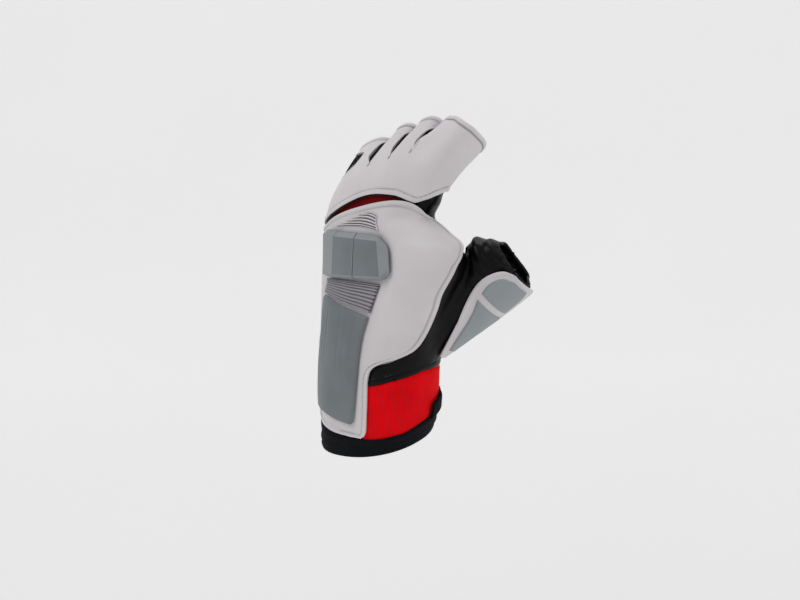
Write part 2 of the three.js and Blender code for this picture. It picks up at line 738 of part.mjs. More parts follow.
// Finger sleeves, open at both ends
FINGERS.forEach((finger) => {
  const end = finger.end - 0.08;
  const rings = (offset) =>
    steps(SLEEVE_START, end, 4).map((v) =>
      ringAngles(22).map((phi) => fingerPoint(finger, phi + 8, v, offset)),
    );
  add(
    `finger_sleeve_${finger.name}`,
    wall(rings(SLEEVE.outer), rings(SLEEVE.inner), () => true, true),
    looks.blackLeather,
  );
});

// Mesh windows beside the little, ring and middle fingers
const MESH_HEIGHTS = [8.46, 8.56, 8.68, 8.8, 8.92, 9.04];
const between = (left, right, v, offset, margin) => {
  const a = fingerPoint(left, cover(left, v), v, offset);
  const b = fingerPoint(right, -cover(right, v), v, offset);
  const share = margin / a.distanceTo(b);
  return steps(share, 1 - share, 3).map((t) => a.clone().lerp(b, t));
};
[
  ["finger_mesh_ring", FINGERS[0], FINGERS[1]],
  ["finger_mesh_middle", FINGERS[1], FINGERS[2]],
].forEach(([name, left, right]) => {
  const grid = (offset) => MESH_HEIGHTS.map((v) => between(left, right, v, offset, MESH.margin));
  add(name, wall(grid(MESH.outer), grid(MESH.inner)), looks.blackMesh);
});
const outerMesh = (offset) =>
  MESH_HEIGHTS.map((v) => {
    const edge = look(LITTLE_COVER, "v", v, "angle");
    return steps(-112, edge - 5, 8).map((phi) => fingerPoint(FINGERS[0], phi, v, offset));
  });
add("finger_mesh_little", wall(outerMesh(MESH.outer), outerMesh(MESH.inner)), looks.blackMesh);

// Guard plate
const edged = (t, s, edge, height) => (t < 0.02 || t > 0.98 || s < 0.02 || s > 0.98 ? edge : height);
add(
  "guard_plate",
  patch(PLATE_ROWS, [0, 0.1, 0.3, 0.5, 0.7, 0.9, 1], GUARD_BASE, (t, s) => {
    return edged(t, s, PLATE_EDGE, PLATE_HEIGHT);
  }),
  looks.guard,
);

// Ribs, as a section that rises and falls along the hand
function ribs(name, table, look) {
  const rows = [];
  for (let i = 0; i <= table.count * 2; i += 1) {
    rows.push(mixRow(table.low, table.high, i / (table.count * 2)));
  }
  const height = (t, s, r) => (r % 2 === 1 && t > 0.02 && t < 0.98 ? RIB_HIGH : RIB_LOW);
  add(name, patch(rows, [0, 0.1, 0.3, 0.5, 0.7, 0.9, 1], GUARD_BASE, height), look);
}
ribs("lower_ribs", LOWER_RIBS, looks.guard);
ribs("upper_ribs", UPPER_RIBS, looks.paleGuard);

// Guard block, in three flat facets with bevelled edges and cut corners
BLOCKS.forEach(({ name, left, right, chamfer }) => {
  const bevelLeft = chamfer === "left";
  const bevelRight = chamfer === "right";
  const thetas = [left, left + BLOCK_BEVEL.theta, (left + right) / 2, right - BLOCK_BEVEL.theta, right];
  const top = { left: bevelLeft ? thetas[1] : left, right: bevelRight ? thetas[3] : right };
  const rowAt = (theta, r) => {
    const high = BLOCK_HIGH + BLOCK_RISE * (BLOCKS[2].right - theta);
    return [BLOCK_LOW, BLOCK_LOW + BLOCK_BEVEL.v, high - BLOCK_BEVEL.v, high][r];
  };
  const heightAt = (theta, r) => {
    const out = (bevelLeft && theta === left) || (bevelRight && theta === right);
    const lift = r < 2 ? 1 : -1;
    return rowAt(theta, r) + (out ? lift * BLOCK_BEVEL.corner : 0);
  };
  const inner = [0, 1, 2, 3].map((r) =>
    thetas.map((theta) => handPoint(theta, heightAt(theta, r), BLOCK_BASE)),
  );
  const outer = [0, 1, 2, 3].map((r) => {
    const offset = r === 0 || r === 3 ? BLOCK_EDGE : BLOCK_HEIGHT;
    const a = handPoint(top.left, rowAt(top.left, r), offset);
    const b = handPoint(top.right, rowAt(top.right, r), offset);
    return thetas.map((theta) => {
      if ((bevelLeft && theta === left) || (bevelRight && theta === right)) {
        return handPoint(theta, heightAt(theta, r), BLOCK_EDGE);
      }
      return a.clone().lerp(b, (theta - top.left) / (top.right - top.left));
    });
  });
  add(name, wall(outer, inner), looks.guard);
});

// Thumb pad and inlays
add(
  "thumb_pad",
  patch(PAD_ROWS, steps(0, 1, 12), THUMB_PAD.inner, THUMB_PAD.outer, thumbPoint),
  looks.whiteLeather,
);
add(
  "thumb_inlay_base",
  patch(INLAY_BASE_ROWS, steps(0, 1, 8), THUMB_INLAY.inner, THUMB_INLAY.outer, thumbPoint),
  looks.guard,
);
add(
  "thumb_inlay_tip",
  patch(INLAY_TIP_ROWS, steps(0, 1, 8), THUMB_INLAY.inner, THUMB_INLAY.outer, thumbPoint),
  looks.guard,
);

export default group;
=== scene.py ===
import json
import math
from collections import namedtuple

import bmesh
import bpy
from mathutils import Matrix, Vector, kdtree, noise

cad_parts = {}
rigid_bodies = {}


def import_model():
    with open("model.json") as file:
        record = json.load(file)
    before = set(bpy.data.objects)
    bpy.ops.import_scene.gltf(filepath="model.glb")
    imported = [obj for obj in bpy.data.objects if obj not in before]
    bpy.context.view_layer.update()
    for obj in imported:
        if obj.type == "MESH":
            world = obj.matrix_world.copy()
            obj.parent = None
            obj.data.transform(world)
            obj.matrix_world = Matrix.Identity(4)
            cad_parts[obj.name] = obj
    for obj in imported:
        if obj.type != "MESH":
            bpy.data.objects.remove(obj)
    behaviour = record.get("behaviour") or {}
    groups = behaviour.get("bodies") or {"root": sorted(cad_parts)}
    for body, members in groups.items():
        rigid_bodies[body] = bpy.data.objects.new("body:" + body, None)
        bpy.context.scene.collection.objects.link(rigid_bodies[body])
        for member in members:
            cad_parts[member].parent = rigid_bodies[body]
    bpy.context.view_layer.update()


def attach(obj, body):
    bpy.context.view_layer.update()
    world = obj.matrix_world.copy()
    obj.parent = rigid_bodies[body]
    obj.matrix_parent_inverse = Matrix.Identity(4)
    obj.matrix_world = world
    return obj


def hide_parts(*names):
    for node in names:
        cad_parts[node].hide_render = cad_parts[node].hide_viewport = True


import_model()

# A left-hand fingerless shooting glove in its worn form. +Z runs from the wrist to the fingers, -Y is
# the back of the hand and +X the thumb side. Tables are in millimetres and degrees. A height v counts
# the rows of BODY, or of THUMB on the thumb.
MM = 0.001


def table(names, *rows):
    """Rows whose columns have names"""
    row = namedtuple("Row", names)
    return tuple(row(*values) for values in rows)


# Leather and knit, as their inner and outer faces above the hand's surface
PANEL_FACE, PANEL_WALL = 1.2, 1.8
FINGER_FACE, FINGER_WALL = 1.4, 1.15
PALM_FACE, PALM_WALL = -0.3, 1.7
KNIT_FACE, KNIT_WALL = -0.3, 1.5
KNUCKLE_FACE, KNUCKLE_WALL = -1.0, 1.2
SLEEVE_FACE, SLEEVE_WALL = -0.8, 1.5
THUMB_FACE = -1.0
PLATE_HEIGHT, PLATE_EDGE = 3.8, 2.5
HEM = 2.3
SEAM = 3.1
END_SEAM = 3.0
STEM_CORNER = 3.4
DEGREES_PER_MM = 1.5

# About how far apart the rows of a table lie, in mm
WRIST_ROW = 22
THUMB_ROW = 26

BODY = table(
    "x y z tilt roll ulnar radial back palm square",
    (0, 0, 3, -10, 8, 33, 33.5, 29, 28.5, 2.2),
    (0, 0, 20, -5, 4, 34.8, 38, 31, 31, 2.2),
    (0, 0, 45, 0, 2, 35.6, 40, 30, 31, 2.2),
    (0, 1, 68, 0, 2, 37.5, 43, 26, 31, 2.3),
    (0, 2, 90, 0, 4, 39.5, 52, 23, 31, 2.3),
    (0, 2, 106, 0, 8, 40.5, 61, 21, 29, 2.2),
    (0, 3, 121, 4, 12, 40.5, 56, 20, 25, 2.2),
    (0, 5, 138, 12, 17, 41, 41, 18, 21, 2.4),
    (0, 11, 152.5, 28, 19, 40.5, 46, 17, 21, 2.6),
    (0, 24, 165.5, 44, 19, 39.5, 51, 16.5, 20, 2.7),
    (0, 43.5, 180, 54, 19, 39, 54, 16, 18, 2.7),
    (0, 65, 194, 57, 19, 38, 55, 15, 16, 2.7),
)
WEB_NOTCH = (
    (5.65, 0), (5.8, 2), (6.0, 7), (6.3, 10), (6.55, 12), (6.8, 5), (7.0, 0),
)
THUMB = table(
    "x y z web outer back palm",
    (22, 11, 67, 28, 20, 18, 18),
    (40, 22, 84, 27, 19.5, 17, 17),
    (58, 32, 100, 24, 19, 16, 16),
    (72, 40.5, 113, 21, 18, 15, 15),
)
GUARD_SEAT = (
    (0.35, 0), (0.92, 3.2), (3.6, 3.6), (4.8, 5.4), (6.0, 5.2), (6.9, 1.5), (7.3, 0),
)
GUARD_CENTRE = -15
FINGERS = table(
    "name start stop end lean narrow",
    ("little", -1, -0.14, 9.46, -5, 2.6),
    ("ring", -0.14, 0.23, 9.56, -3, 0),
    ("middle", 0.23, 0.56, 9.52, -2, 0),
    ("index", 0.56, 1, 9.32, 0, 0),
)
SLIT_START = 8.4
SLEEVE_START = 8.3
HAND_TO_FINGER = (7.5, 8.2)
FINGER_CLEARANCE = 1.4
FINGER_SQUARE = 2.6
INDEX_SLANT = (
    (-86, 0.06), (-42, 0.12), (-20, 0.1), (0, 0.02), (20, -0.08), (42, -0.15), (60, -0.17),
    (86, -0.15), (110, -0.08), (140, 0),
)
FINGER_SPLIT = (8.6, 9.5, 0.6)
COVER = (
    (7.0, 86), (8.38, 86), (8.5, 58), (8.7, 42), (8.9, 42), (9.2, 46), (9.29, 60), (9.36, 84),
)
LITTLE_COVER = (
    (7.0, -112), (8.3, -104), (8.4, -50), (8.47, -10), (8.6, 2), (8.8, 6), (9.0, 6), (9.06, 0),
    (9.14, -20), (9.22, -50), (9.36, -80),
)
CLOSED_COVER = 85
MIDDLE_COVER = (
    (7.0, 85), (8.48, 85), (8.6, 60), (8.72, 50), (8.9, 52), (9.05, 56), (9.18, 66), (9.26, 85),
)
CUFF_TOP = (
    (-46, 0.84), (-25, 0.775), (-7, 0.735), (10, 0.71), (27, 0.705), (40, 0.7), (70, 0.76),
    (87, 0.91), (105, 1.04), (125, 1.16), (180, 1.2), (240, 1.06), (314, 0.84),
)
PALM_LOW = (
    (31, 1.96), (56, 2.12), (87, 2.27), (110, 2.24), (180, 2.1), (250, 2.24), (290, 2.1), (314, 1.96),
)
FINGER_LOW = (
    (-94, 6.78), (-44, 7.08), (-14, 7.27), (0, 7.35), (10, 7.32), (34, 7.14), (50, 6.96),
    (63, 6.87), (83, 6.98), (108, 7.3), (140, 7.5),
)
PALM_LEFT = (
    (6.08, 107.7), (6.3, 104.9), (6.52, 99.4), (6.85, 100.6), (7.3, 103.5), (7.8, 114), (8.3, 120),
)
PALM_RIGHT = (
    (6.0, -92.7), (6.3, -92), (6.45, -94), (6.62, -97), (6.85, -100), (7.1, -104), (7.7, -108),
    (8.3, -110),
)

# Cut pieces, row by row: the angle of each end, and the height at the left end, the middle and the right end
CUT = "left low_left low_mid right low_right"
BACK = table(
    CUT,
    (-54, 0.89, 0.77, 26.5, 0.74),
    (-55, 1.08, 0.98, 28, 0.9),
    (-56, 1.6, 1.6, 28.5, 1.6),
    (-56, 2.26, 2.26, 27.5, 2.26),
    (-60, 2.52, 2.5, 38, 2.54),
    (-70, 2.76, 2.74, 56, 2.7),
    (-82, 3.1, 3.06, 72, 2.92),
    (-92, 3.6, 3.5, 80, 3.3),
    (-94, 4.0, 4.0, 82, 3.85),
    (-94, 4.5, 4.5, 80, 4.4),
    (-94, 5.0, 5.0, 86, 4.96),
    (-94, 5.4, 5.42, 96, 5.34),
    (-94, 5.7, 5.8, 104, 5.66),
    (-92, 6.0, 6.18, 107, 5.86),
    (-88, 6.3, 6.52, 107, 6.08),
    (-82, 6.5, 6.84, 104, 6.3),
    (-76, 6.68, 7.07, 98, 6.5),
)
PLATE = table(
    CUT,
    (-36, 1.24, 1.14, 10, 1.06),
    (-42, 1.4, 1.28, 13.5, 1.2),
    (-43, 2.0, 2.0, 15.5, 2.0),
    (-42, 3.0, 3.0, 12, 3.0),
    (-42, 3.98, 3.84, 13.5, 3.62),
)
LOWER_RIBS = table(
    CUT,
    (-41, 4.06, 3.92, 14, 3.72),
    (-40, 4.64, 4.66, 17, 4.58),
)
UPPER_RIBS = table(
    CUT,
    (-26, 6.66, 6.54, 19, 6.28),
    (3, 6.86, 6.82, 19, 6.7),
)

# Pieces on the thumb, row by row: the angle of each end, and the height
BAND = "left right v"
PAD = table(
    BAND,
    (-56, -38, 0.34), (-62, -14, 0.8), (-64, 2, 1.2), (-65, 23, 1.86), (-65, 28, 2.3),
    (-62, 20, 2.72), (-52, 2, 2.93),
)
INLAY_BASE = table(
    BAND,
    (-54, -40, 0.56), (-56, -26, 0.84), (-57, -10, 1.3), (-57, 9, 1.8),
)
INLAY_TIP = table(
    BAND,
    (-50, 12, 1.96), (-49, 17, 2.26), (-46, 12, 2.56), (-40, -4, 2.74),
)


# Measures
def steps(start, stop, count):
    return [start + (stop - start) * i / count for i in range(count + 1)]


def between(span, share):
    return span[0] + (span[1] - span[0]) * share


def smooth(t):
    t = min(1.0, max(0.0, t))
    return t * t * (3 - 2 * t)


def bell(off, half):
    """A soft peak of 1 that falls off over a half width"""
    return math.exp(-((off / half) ** 2))


def power(value, exponent):
    return math.copysign(abs(value) ** exponent, value)


def look(pairs, at):
    """A value between the rows of a table of pairs"""
    if at <= pairs[0][0]:
        return pairs[0][1]
    for (a, p), (b, q) in zip(pairs, pairs[1:]):
        if at <= b:
            return p + (q - p) * (at - a) / (b - a)
    return pairs[-1][1]


def flow(pairs, at, reach):
    """The same, with its corners rounded over a reach to either side"""
    return sum(look(pairs, at + reach * k / 3) for k in (-3, -2, -1, 0, 1, 2, 3)) / 7


def spline(rows, v):
    last = len(rows) - 1
    v = min(last, max(0.0, v))
    i = min(last - 1, int(v))
    t = v - i
    before, here, there, after = rows[max(0, i - 1)], rows[i], rows[i + 1], rows[min(last, i + 2)]
    a = 2 * t**3 - 3 * t**2 + 1
    b = t**3 - 2 * t**2 + t
    c = 1 - a
    d = t**3 - t**2
    mixed = (
        a * q + b * (r - p) / 2 + c * r + d * (s - q) / 2
        for p, q, r, s in zip(before, here, there, after)
    )
    return type(here)(*mixed)


# The hand's surface
def in_section(row, across, down):
    return Vector((
        row.x + across,
        row.y + down * math.cos(math.radians(row.tilt)),
        row.z + across * math.tan(math.radians(row.roll)) - down * math.sin(math.radians(row.tilt)),
    ))


def hand_row(v):
    """A section of the hand, narrowed between the thumb and the index finger"""
    row = spline(BODY, v)
    return row._replace(radial=row.radial - flow(WEB_NOTCH, v, 0.08))


def seat(theta, v):
    """How far the back is set in under the moulded guard"""
    away = abs((theta - GUARD_CENTRE + 540) % 360 - 180)
    return 0 if away > 50 else (1 - smooth((away - 26) / 24)) * flow(GUARD_SEAT, v, 0.15)


def hand_point(theta, v, lift, seated=True):
    """A point of the hand: 0 is the back, 90 the thumb side, 180 the palm"""
    row = hand_row(v)
    s, c = math.sin(math.radians(theta)), math.cos(math.radians(theta))
    wide = (row.radial if s >= 0 else row.ulnar) + lift
    deep = (row.back if c >= 0 else row.palm) + lift
    across = wide * power(s, 2 / row.square)
    inset = seat(theta, v) if seated else 0
    return in_section(row, across, inset - deep * power(c, 2 / row.square))


def finger_shape(finger, v):
    row = hand_row(v)
    low = finger.start * (row.ulnar if finger.start < 0 else row.radial)
    high = finger.stop * (row.ulnar if finger.stop < 0 else row.radial)
    low -= FINGER_CLEARANCE if finger.start == -1 else 0
    high += FINGER_CLEARANCE if finger.stop == 1 else 0
    lean = finger.lean * max(0.0, v - SLIT_START)
    narrow = finger.narrow * smooth(v - SLIT_START)
    return row, lean, (low + high) / 2 + lean + narrow, (high - low) / 2 - FINGER_CLEARANCE - narrow


def depth_at(row, across, lift, side):
    wide = (row.radial if across >= 0 else row.ulnar) + lift
    share = min(1.0, abs(across) / wide)
    return (getattr(row, side) + lift) * (1 - share**row.square) ** (1 / row.square)


def finger_end_at(finger, phi):
    """The height of a finger's end. The index finger's is cut on a slant."""
    slant = flow(INDEX_SLANT, phi, 8) if finger.name == "index" else 0
    return finger.end + slant


def finger_point(finger, phi, v, lift):
    """A point of a finger's sleeve, at an angle round it"""
    row, lean, centre, half = finger_shape(finger, v)
    s, c = math.sin(math.radians(phi)), math.cos(math.radians(phi))
    side = "back" if c >= 0 else "palm"
    across = centre + (half + lift) * power(s, 2 / FINGER_SQUARE)
    shared = depth_at(row, across - lean, lift, side)
    own = (depth_at(row, centre - lean, 0, side) + lift) * abs(c) ** (2 / FINGER_SQUARE)
    start, stop, share = FINGER_SPLIT
    deep = shared + share * smooth((v - start) / (stop - start)) * (own - shared)
    return in_section(row, across, -deep if c >= 0 else deep)


THUMB_TOP = len(THUMB) - 1
thumb_start, thumb_stop = (Vector(THUMB[i][:3]) for i in (0, THUMB_TOP))
thumb_axis = (thumb_stop - thumb_start).normalized()
thumb_back = Vector((0.62, -0.72, -0.3))
thumb_back = (thumb_back - thumb_axis * thumb_back.dot(thumb_axis)).normalized()
thumb_web = thumb_axis.cross(thumb_back)
thumb_web *= math.copysign(1, thumb_web.z)


def thumb_point(theta, v, lift):
    """A point of the thumb: 0 is its back, 90 the web side"""
    row = spline(THUMB, v)
    s, c = math.sin(math.radians(theta)), math.cos(math.radians(theta))
    wide = (row.web if s >= 0 else row.outer) + lift
    deep = (row.back if c >= 0 else row.palm) + lift
    return Vector(row[:3]) + thumb_web * wide * s + thumb_back * deep * c


def height_at(row, t):
    """The height of a row at a share across it: a curve through its left end, middle and right end"""
    v = row.low_left * (2 * t - 1) * (t - 1) + row.low_mid * 4 * t * (1 - t)
    return v + row.low_right * t * (2 * t - 1)


def table_place(rows, place):
    """The surface of a cut piece given as rows, by its shares across and up"""

    def at(across, up, lift):
        row = spline(rows, up * (len(rows) - 1))
        theta = row.left + (row.right - row.left) * across
        return place(theta, row.v if hasattr(row, "v") else height_at(row, across), lift)

    return at


# Making pieces
def graded(count, edge, share):
    """Shares from 0 to 1 that lie closer together near both ends"""
    ends = steps(0, share, edge)
    return ends[:-1] + steps(share, 1 - share, count) + [1 - t for t in reversed(ends[:-1])]


def lengths(points):
    total, out = 0.0, [0.0]
    for a, b in zip(points, points[1:]):
        total += (b - a).length
        out.append(total)
    return out


Ground = namedtuple("Ground", "across up left right low high")


def near_edge(at):
    return min(at.left, at.right, at.low, at.high)


def lay(place, across, up, relief=None, ring=False, outward=True, seam_shading=None):
    """A grid laid on the glove's surface. relief gives each point's lift in mm from where it is on
    the piece, and the second function how much painted shade greys its colour there along a seam. The flat
    pattern of the piece is kept as its UV map, in metres."""
    bm = bmesh.new()
    bmesh.ops.create_grid(bm, x_segments=len(across) - 1, y_segments=len(up) - 1, size=0.5)
    n = len(across)
    # The seam layer holds painted shade: how much the seam grooves' shade greys the colour
    seam = bm.verts.layers.float.new("seam")
    ground = [[place(a, u, 0.0) for a in across] for u in up]
    along = [lengths(row) for row in ground]
    upward = list(zip(*(lengths(column) for column in zip(*ground))))
    for k, vert in enumerate(bm.verts):
        j, i = divmod(k, n)
        here = Ground(
            across[i], up[j], along[j][i], along[j][-1] - along[j][i], upward[j][i],
            upward[-1][i] - upward[j][i],
        )
        lift = relief(here) if relief else 0.0
        vert[seam] = seam_shading(here) if seam_shading else 0.0
        vert.co = place(across[i], up[j], lift) * MM
    middle = len(up) // 2
    flat = bm.loops.layers.uv.new("pattern")
    bm.faces.ensure_lookup_table()
    for face in bm.faces:
        for loop in face.loops:
            j, i = divmod(loop.vert.index, n)
            loop[flat].uv = (along[middle][i] * MM, upward[j][i] * MM)
    face = bm.faces[(len(up) // 2) * (n - 1) + n // 3]
    j, i = divmod(face.verts[0].index, n)
    out = place(across[i], up[j], 1.0) - place(across[i], up[j], 0.0)
    face.normal_update()
    if (face.normal.dot(out) < 0) == outward:
        bmesh.ops.reverse_faces(bm, faces=bm.faces[:])
    if ring:
        bmesh.ops.remove_doubles(bm, verts=bm.verts[:], dist=1e-6)
    return bm


def second_material(bm, across, up, shape, least):
    """Gives the cells of a laid grid their second material where a shape stands out"""
    for k, face in enumerate(bm.faces):
        j, i = divmod(k, len(across) - 1)
        spot = Ground((across[i] + across[i + 1]) / 2, (up[j] + up[j + 1]) / 2, 0, 0, 0, 0)
        face.material_index = 1 if shape(spot) > least else 0


def piece(name, bm, materials, nodes=(), wall=None, round_edge=None):
    """Makes an object of a mesh, with its wall and its rounded edge in mm"""
    mesh = bpy.data.meshes.new(name)
    bm.to_mesh(mesh)
    bm.free()
    mesh.shade_smooth()
    obj = bpy.data.objects.new(name, mesh)
    bpy.context.scene.collection.objects.link(obj)
    for material in materials if isinstance(materials, (list, tuple)) else [materials]:
        mesh.materials.append(material)
    if wall:
        thick = obj.modifiers.new("wall", "SOLIDIFY")
        thick.thickness = wall * MM
        thick.offset = -1
        thick.use_even_offset = False
    if round_edge:
        edge = obj.modifiers.new("rounded edge", "BEVEL")
        edge.width = round_edge * MM
        edge.segments = 2
        edge.limit_method = "ANGLE"
        edge.angle_limit = math.radians(50)
        edge.harden_normals = False
    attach(obj, "root")
    if nodes:
        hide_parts(*nodes)
    return obj


def cut_size(bm):
    """The width, length and area of a laid piece's flat pattern, in metres"""
    flat = bm.loops.layers.uv["pattern"]
    spots = [loop[flat].uv for face in bm.faces for loop in face.loops]
    size = tuple(max(s[k] for s in spots) - min(s[k] for s in spots) for k in (0, 1))
    return {"flat": size, "area": sum(face.calc_area() for face in bm.faces)}


def edge_run(place, side, inset, start, stop, count):
    """Places on a piece, as shares across and up, a fixed distance in from one of its edges"""
    upright = side in ("left", "right")
    run = []
    for u in steps(start, stop, count):
        line = [place(t, u, 0.0) if upright else place(u, t, 0.0) for t in steps(0, 1, 16)]
        t = inset / lengths(line)[-1]
        if side in ("right", "high"):
            t = 1 - t
        run.append((t, u) if upright else (u, t))
    return run


def on_surface(place, run, lift):
    """The points of such a line, and the way out at each"""
    points = [place(a, u, lift) for a, u in run]
    outs = [(place(a, u, lift + 1) - p).normalized() for (a, u), p in zip(run, points)]
    return points, outs


def spaced(points, outs, pitch):
    """Evenly spaced places on a line: the point, the way along and the way out"""
    at = lengths(points)
    count = max(1, int(at[-1] / pitch))
    k, places = 0, []
    for i in range(count):
        want = (i + 0.5) * at[-1] / count
        while k < len(at) - 2 and at[k + 1] < want:
            k += 1
        t = (want - at[k]) / max(1e-9, at[k + 1] - at[k])
        spot = points[k].lerp(points[k + 1], t)
        places.append((spot, (points[k + 1] - points[k]).normalized(), outs[k].lerp(outs[k + 1], t)))
    return places


def sew(bm, points, outs, pitch=2.6, length=2.0, thick=0.38, sink=0.05):
    """Adds a row of stitches along a line"""
    for spot, along, out in spaced(points, outs, pitch):
        side = out.cross(along).normalized()
        up = along.cross(side)
        turn = Matrix((along * length / 2, side * thick / 2, up * thick / 2)).transposed()
        where = Matrix.Translation((spot - up * sink) * MM) @ (turn * MM).to_4x4()
        bmesh.ops.create_icosphere(bm, subdivisions=1, radius=1.0, matrix=where)


def cord_along(bm, points, outs, radius, sides=8):
    """Adds a round piping that follows a line and thins out at its ends"""
    ring_before = None
    last = len(points) - 1
    for k, (spot, out) in enumerate(zip(points, outs)):
        along = (points[min(last, k + 1)] - points[max(0, k - 1)]).normalized()
        side = out.cross(along).normalized()
        up = along.cross(side)
        thin = math.sqrt(max(0.04, 1 - max(0, abs(2 * k / last - 1) * 12 - 11) ** 2))
        turn = Matrix((side, up, along)).transposed() * MM
        where = Matrix.Translation(spot * MM) @ turn.to_4x4()
        made = bmesh.ops.create_circle(
            bm, segments=sides, radius=radius * thin, matrix=where, cap_ends=k in (0, last)
        )
        ring = list({e for v in made["verts"] for e in v.link_edges})
        if ring_before:
            bmesh.ops.bridge_loops(bm, edges=ring_before + ring)
        ring_before = ring
    bmesh.ops.recalc_face_normals(bm, faces=bm.faces[:])


# Materials
def linear(code):
    """An sRGB hex colour as the linear values that the shaders take"""
    parts = [int(code[i:i + 2], 16) / 255 for i in (1, 3, 5)]
    return (*(c / 12.92 if c <= 0.04045 else ((c + 0.055) / 1.055) ** 2.4 for c in parts), 1.0)


def add(tree, kind, settings=None, inputs=None):
    """Adds a node with its settings. An input is a value, or another node's output."""
    made = tree.nodes.new("ShaderNode" + kind)
    for key, value in (settings or {}).items():
        setattr(made, key, value)
    for key, value in (inputs or {}).items():
        if isinstance(value, bpy.types.NodeSocket):
            tree.links.new(value, made.inputs[key])
        else:
            made.inputs[key].default_value = value
    return made


def bands(pitch):
    """The scale at which a wave texture's bands are a pitch in mm apart"""
    return 2 * math.pi / (pitch * MM) / 20


def start(name):
    material = bpy.data.materials.new(name)
    material.use_nodes = True
    tree = material.node_tree
    tree.nodes.clear()
    where = add(tree, "TexCoord").outputs["Object"]
    return material, tree, where


def finish_material(tree, **surface):
    """Ends a material in the surface shader, with what is the same all over set on its sockets"""
    shader = add(tree, "BsdfPrincipled", None, {k.replace("_", " "): v for k, v in surface.items()})
    add(tree, "OutputMaterial", None, {"Surface": shader.outputs["BSDF"]})


def ramp(tree, value, *stops):
    """Colours along a value"""
    made = add(tree, "ValToRGB", None, {"Fac": value})
    band = made.color_ramp
    for position, code in stops[2:]:
        band.elements.new(position)
    for element, (position, code) in zip(band.elements, sorted(stops)):
        element.position = position
        element.color = linear(code)
    return made.outputs["Color"]


def smooth_white_leather():
    # Coated synthetic leather with an embossed grain: satin, slightly lilac, with a fine 0.9 mm grain
    # and faint uneven tone where it is handled. Its thread darkens the seams, and painted shade, read from
    # the seam layer, greys the leather's colour in the seam grooves.
    material, tree, where = start("coated_white_synthetic_leather")
    tone = add(tree, "TexNoise", None, {"Vector": where, "Scale": 28.0, "Detail": 3.0})
    grain = add(tree, "TexVoronoi", {"feature": "SMOOTH_F1"}, {"Vector": where, "Scale": 1 / (0.9 * MM)})
    creases = add(tree, "TexNoise", None, {"Vector": where, "Scale": 1 / (6 * MM), "Detail": 4.0})
    leather = ramp(tree, tone.outputs["Fac"], (0.3, "#d2cdd0"), (0.7, "#dcd8da"))
    # Painted shade: the seam layer greys the leather in its seam grooves
    seam = add(tree, "Attribute", {"attribute_name": "seam"}).outputs["Fac"]
    shaded = add(tree, "Mix", {"data_type": "RGBA"}, {0: seam, 6: leather, 7: linear("#7d787f")})
    rough = add(tree, "MapRange", None, {0: tone.outputs["Fac"], 3: 0.42, 4: 0.56})
    fine = add(tree, "Bump", None, {
        "Strength": 0.22, "Distance": 0.05 * MM, "Height": grain.outputs["Distance"],
    })
    soft = add(tree, "Bump", None, {
        "Strength": 0.35, "Distance": 0.25 * MM, "Height": creases.outputs["Fac"],
        "Normal": fine.outputs["Normal"],
    })
    finish_material(
        tree, Base_Color=shaded.outputs[2], Roughness=rough.outputs[0], Normal=soft.outputs["Normal"],
        Sheen_Weight=0.08, Sheen_Roughness=0.5, Specular_IOR_Level=0.4,
    )
    return material


def glossy_black_leather():
    # Soft aniline goat leather with a pressed gloss: deep black whose wrinkles catch long highlights.
    material, tree, where = start("glossy_black_goat_leather")
    tone = add(tree, "TexNoise", None, {"Vector": where, "Scale": 45.0, "Detail": 4.0})
    grain = add(tree, "TexVoronoi", {"feature": "F1"}, {"Vector": where, "Scale": 1 / (1.1 * MM)})
    wrinkle = add(tree, "TexNoise", None, {
        "Vector": where, "Scale": 1 / (5 * MM), "Detail": 5.0, "Distortion": 0.6,
    })
    colour = ramp(tree, tone.outputs["Fac"], (0.3, "#040405"), (0.72, "#0a0b0d"))
    rough = add(tree, "MapRange", None, {0: tone.outputs["Fac"], 3: 0.3, 4: 0.46})
    fine = add(tree, "Bump", None, {
        "Strength": 0.35, "Distance": 0.08 * MM, "Height": grain.outputs["Distance"],
    })
    soft = add(tree, "Bump", None, {
        "Strength": 0.6, "Distance": 0.5 * MM, "Height": wrinkle.outputs["Fac"],
        "Normal": fine.outputs["Normal"],
    })
    finish_material(
        tree, Base_Color=colour, Roughness=rough.outputs[0], Normal=soft.outputs["Normal"],
        Specular_IOR_Level=0.14, Coat_Weight=0.03, Coat_Roughness=0.25,
    )
    return material


def rib_knit(name, dark, light, pitch, sheen, gloss=0.12):
    # Knitted polyester: rows of stitches stand in upright ribs. The ribs are drawn 1 to 1.4 mm apart,
    # about twice the real spacing, so that they show.
    material, tree, where = start(name)
    flat = add(tree, "UVMap", {"uv_map": "pattern"}).outputs["UV"]
    wave = add(tree, "TexWave", {"wave_type": "BANDS", "bands_direction": "X", "wave_profile": "SIN"}, {
        "Vector": flat, "Scale": bands(pitch), "Distortion": 0.6, "Detail": 1.0,
    })
    rows = add(tree, "TexWave", {"wave_type": "BANDS", "bands_direction": "Y", "wave_profile": "SIN"}, {
        "Vector": flat, "Scale": bands(pitch * 0.75), "Distortion": 0.4,
    })
    tone = add(tree, "TexNoise", None, {"Vector": where, "Scale": 60.0, "Detail": 4.0})
    loops = add(tree, "Math", {"operation": "MULTIPLY_ADD"}, {
        0: rows.outputs["Fac"], 1: 0.35, 2: wave.outputs["Fac"],
    })
    blend = add(tree, "Math", {"operation": "MULTIPLY_ADD"}, {
        0: loops.outputs[0], 1: 0.42, 2: tone.outputs["Fac"],
    })
    colour = ramp(tree, blend.outputs[0], (0.35, dark), (0.95, light))
    bump = add(tree, "Bump", None, {"Strength": 0.4, "Distance": 0.2 * MM, "Height": loops.outputs[0]})
    finish_material(
        tree, Base_Color=colour, Roughness=0.85, Normal=bump.outputs["Normal"],
        Sheen_Weight=sheen, Sheen_Roughness=0.4, Specular_IOR_Level=gloss,
    )
    return material


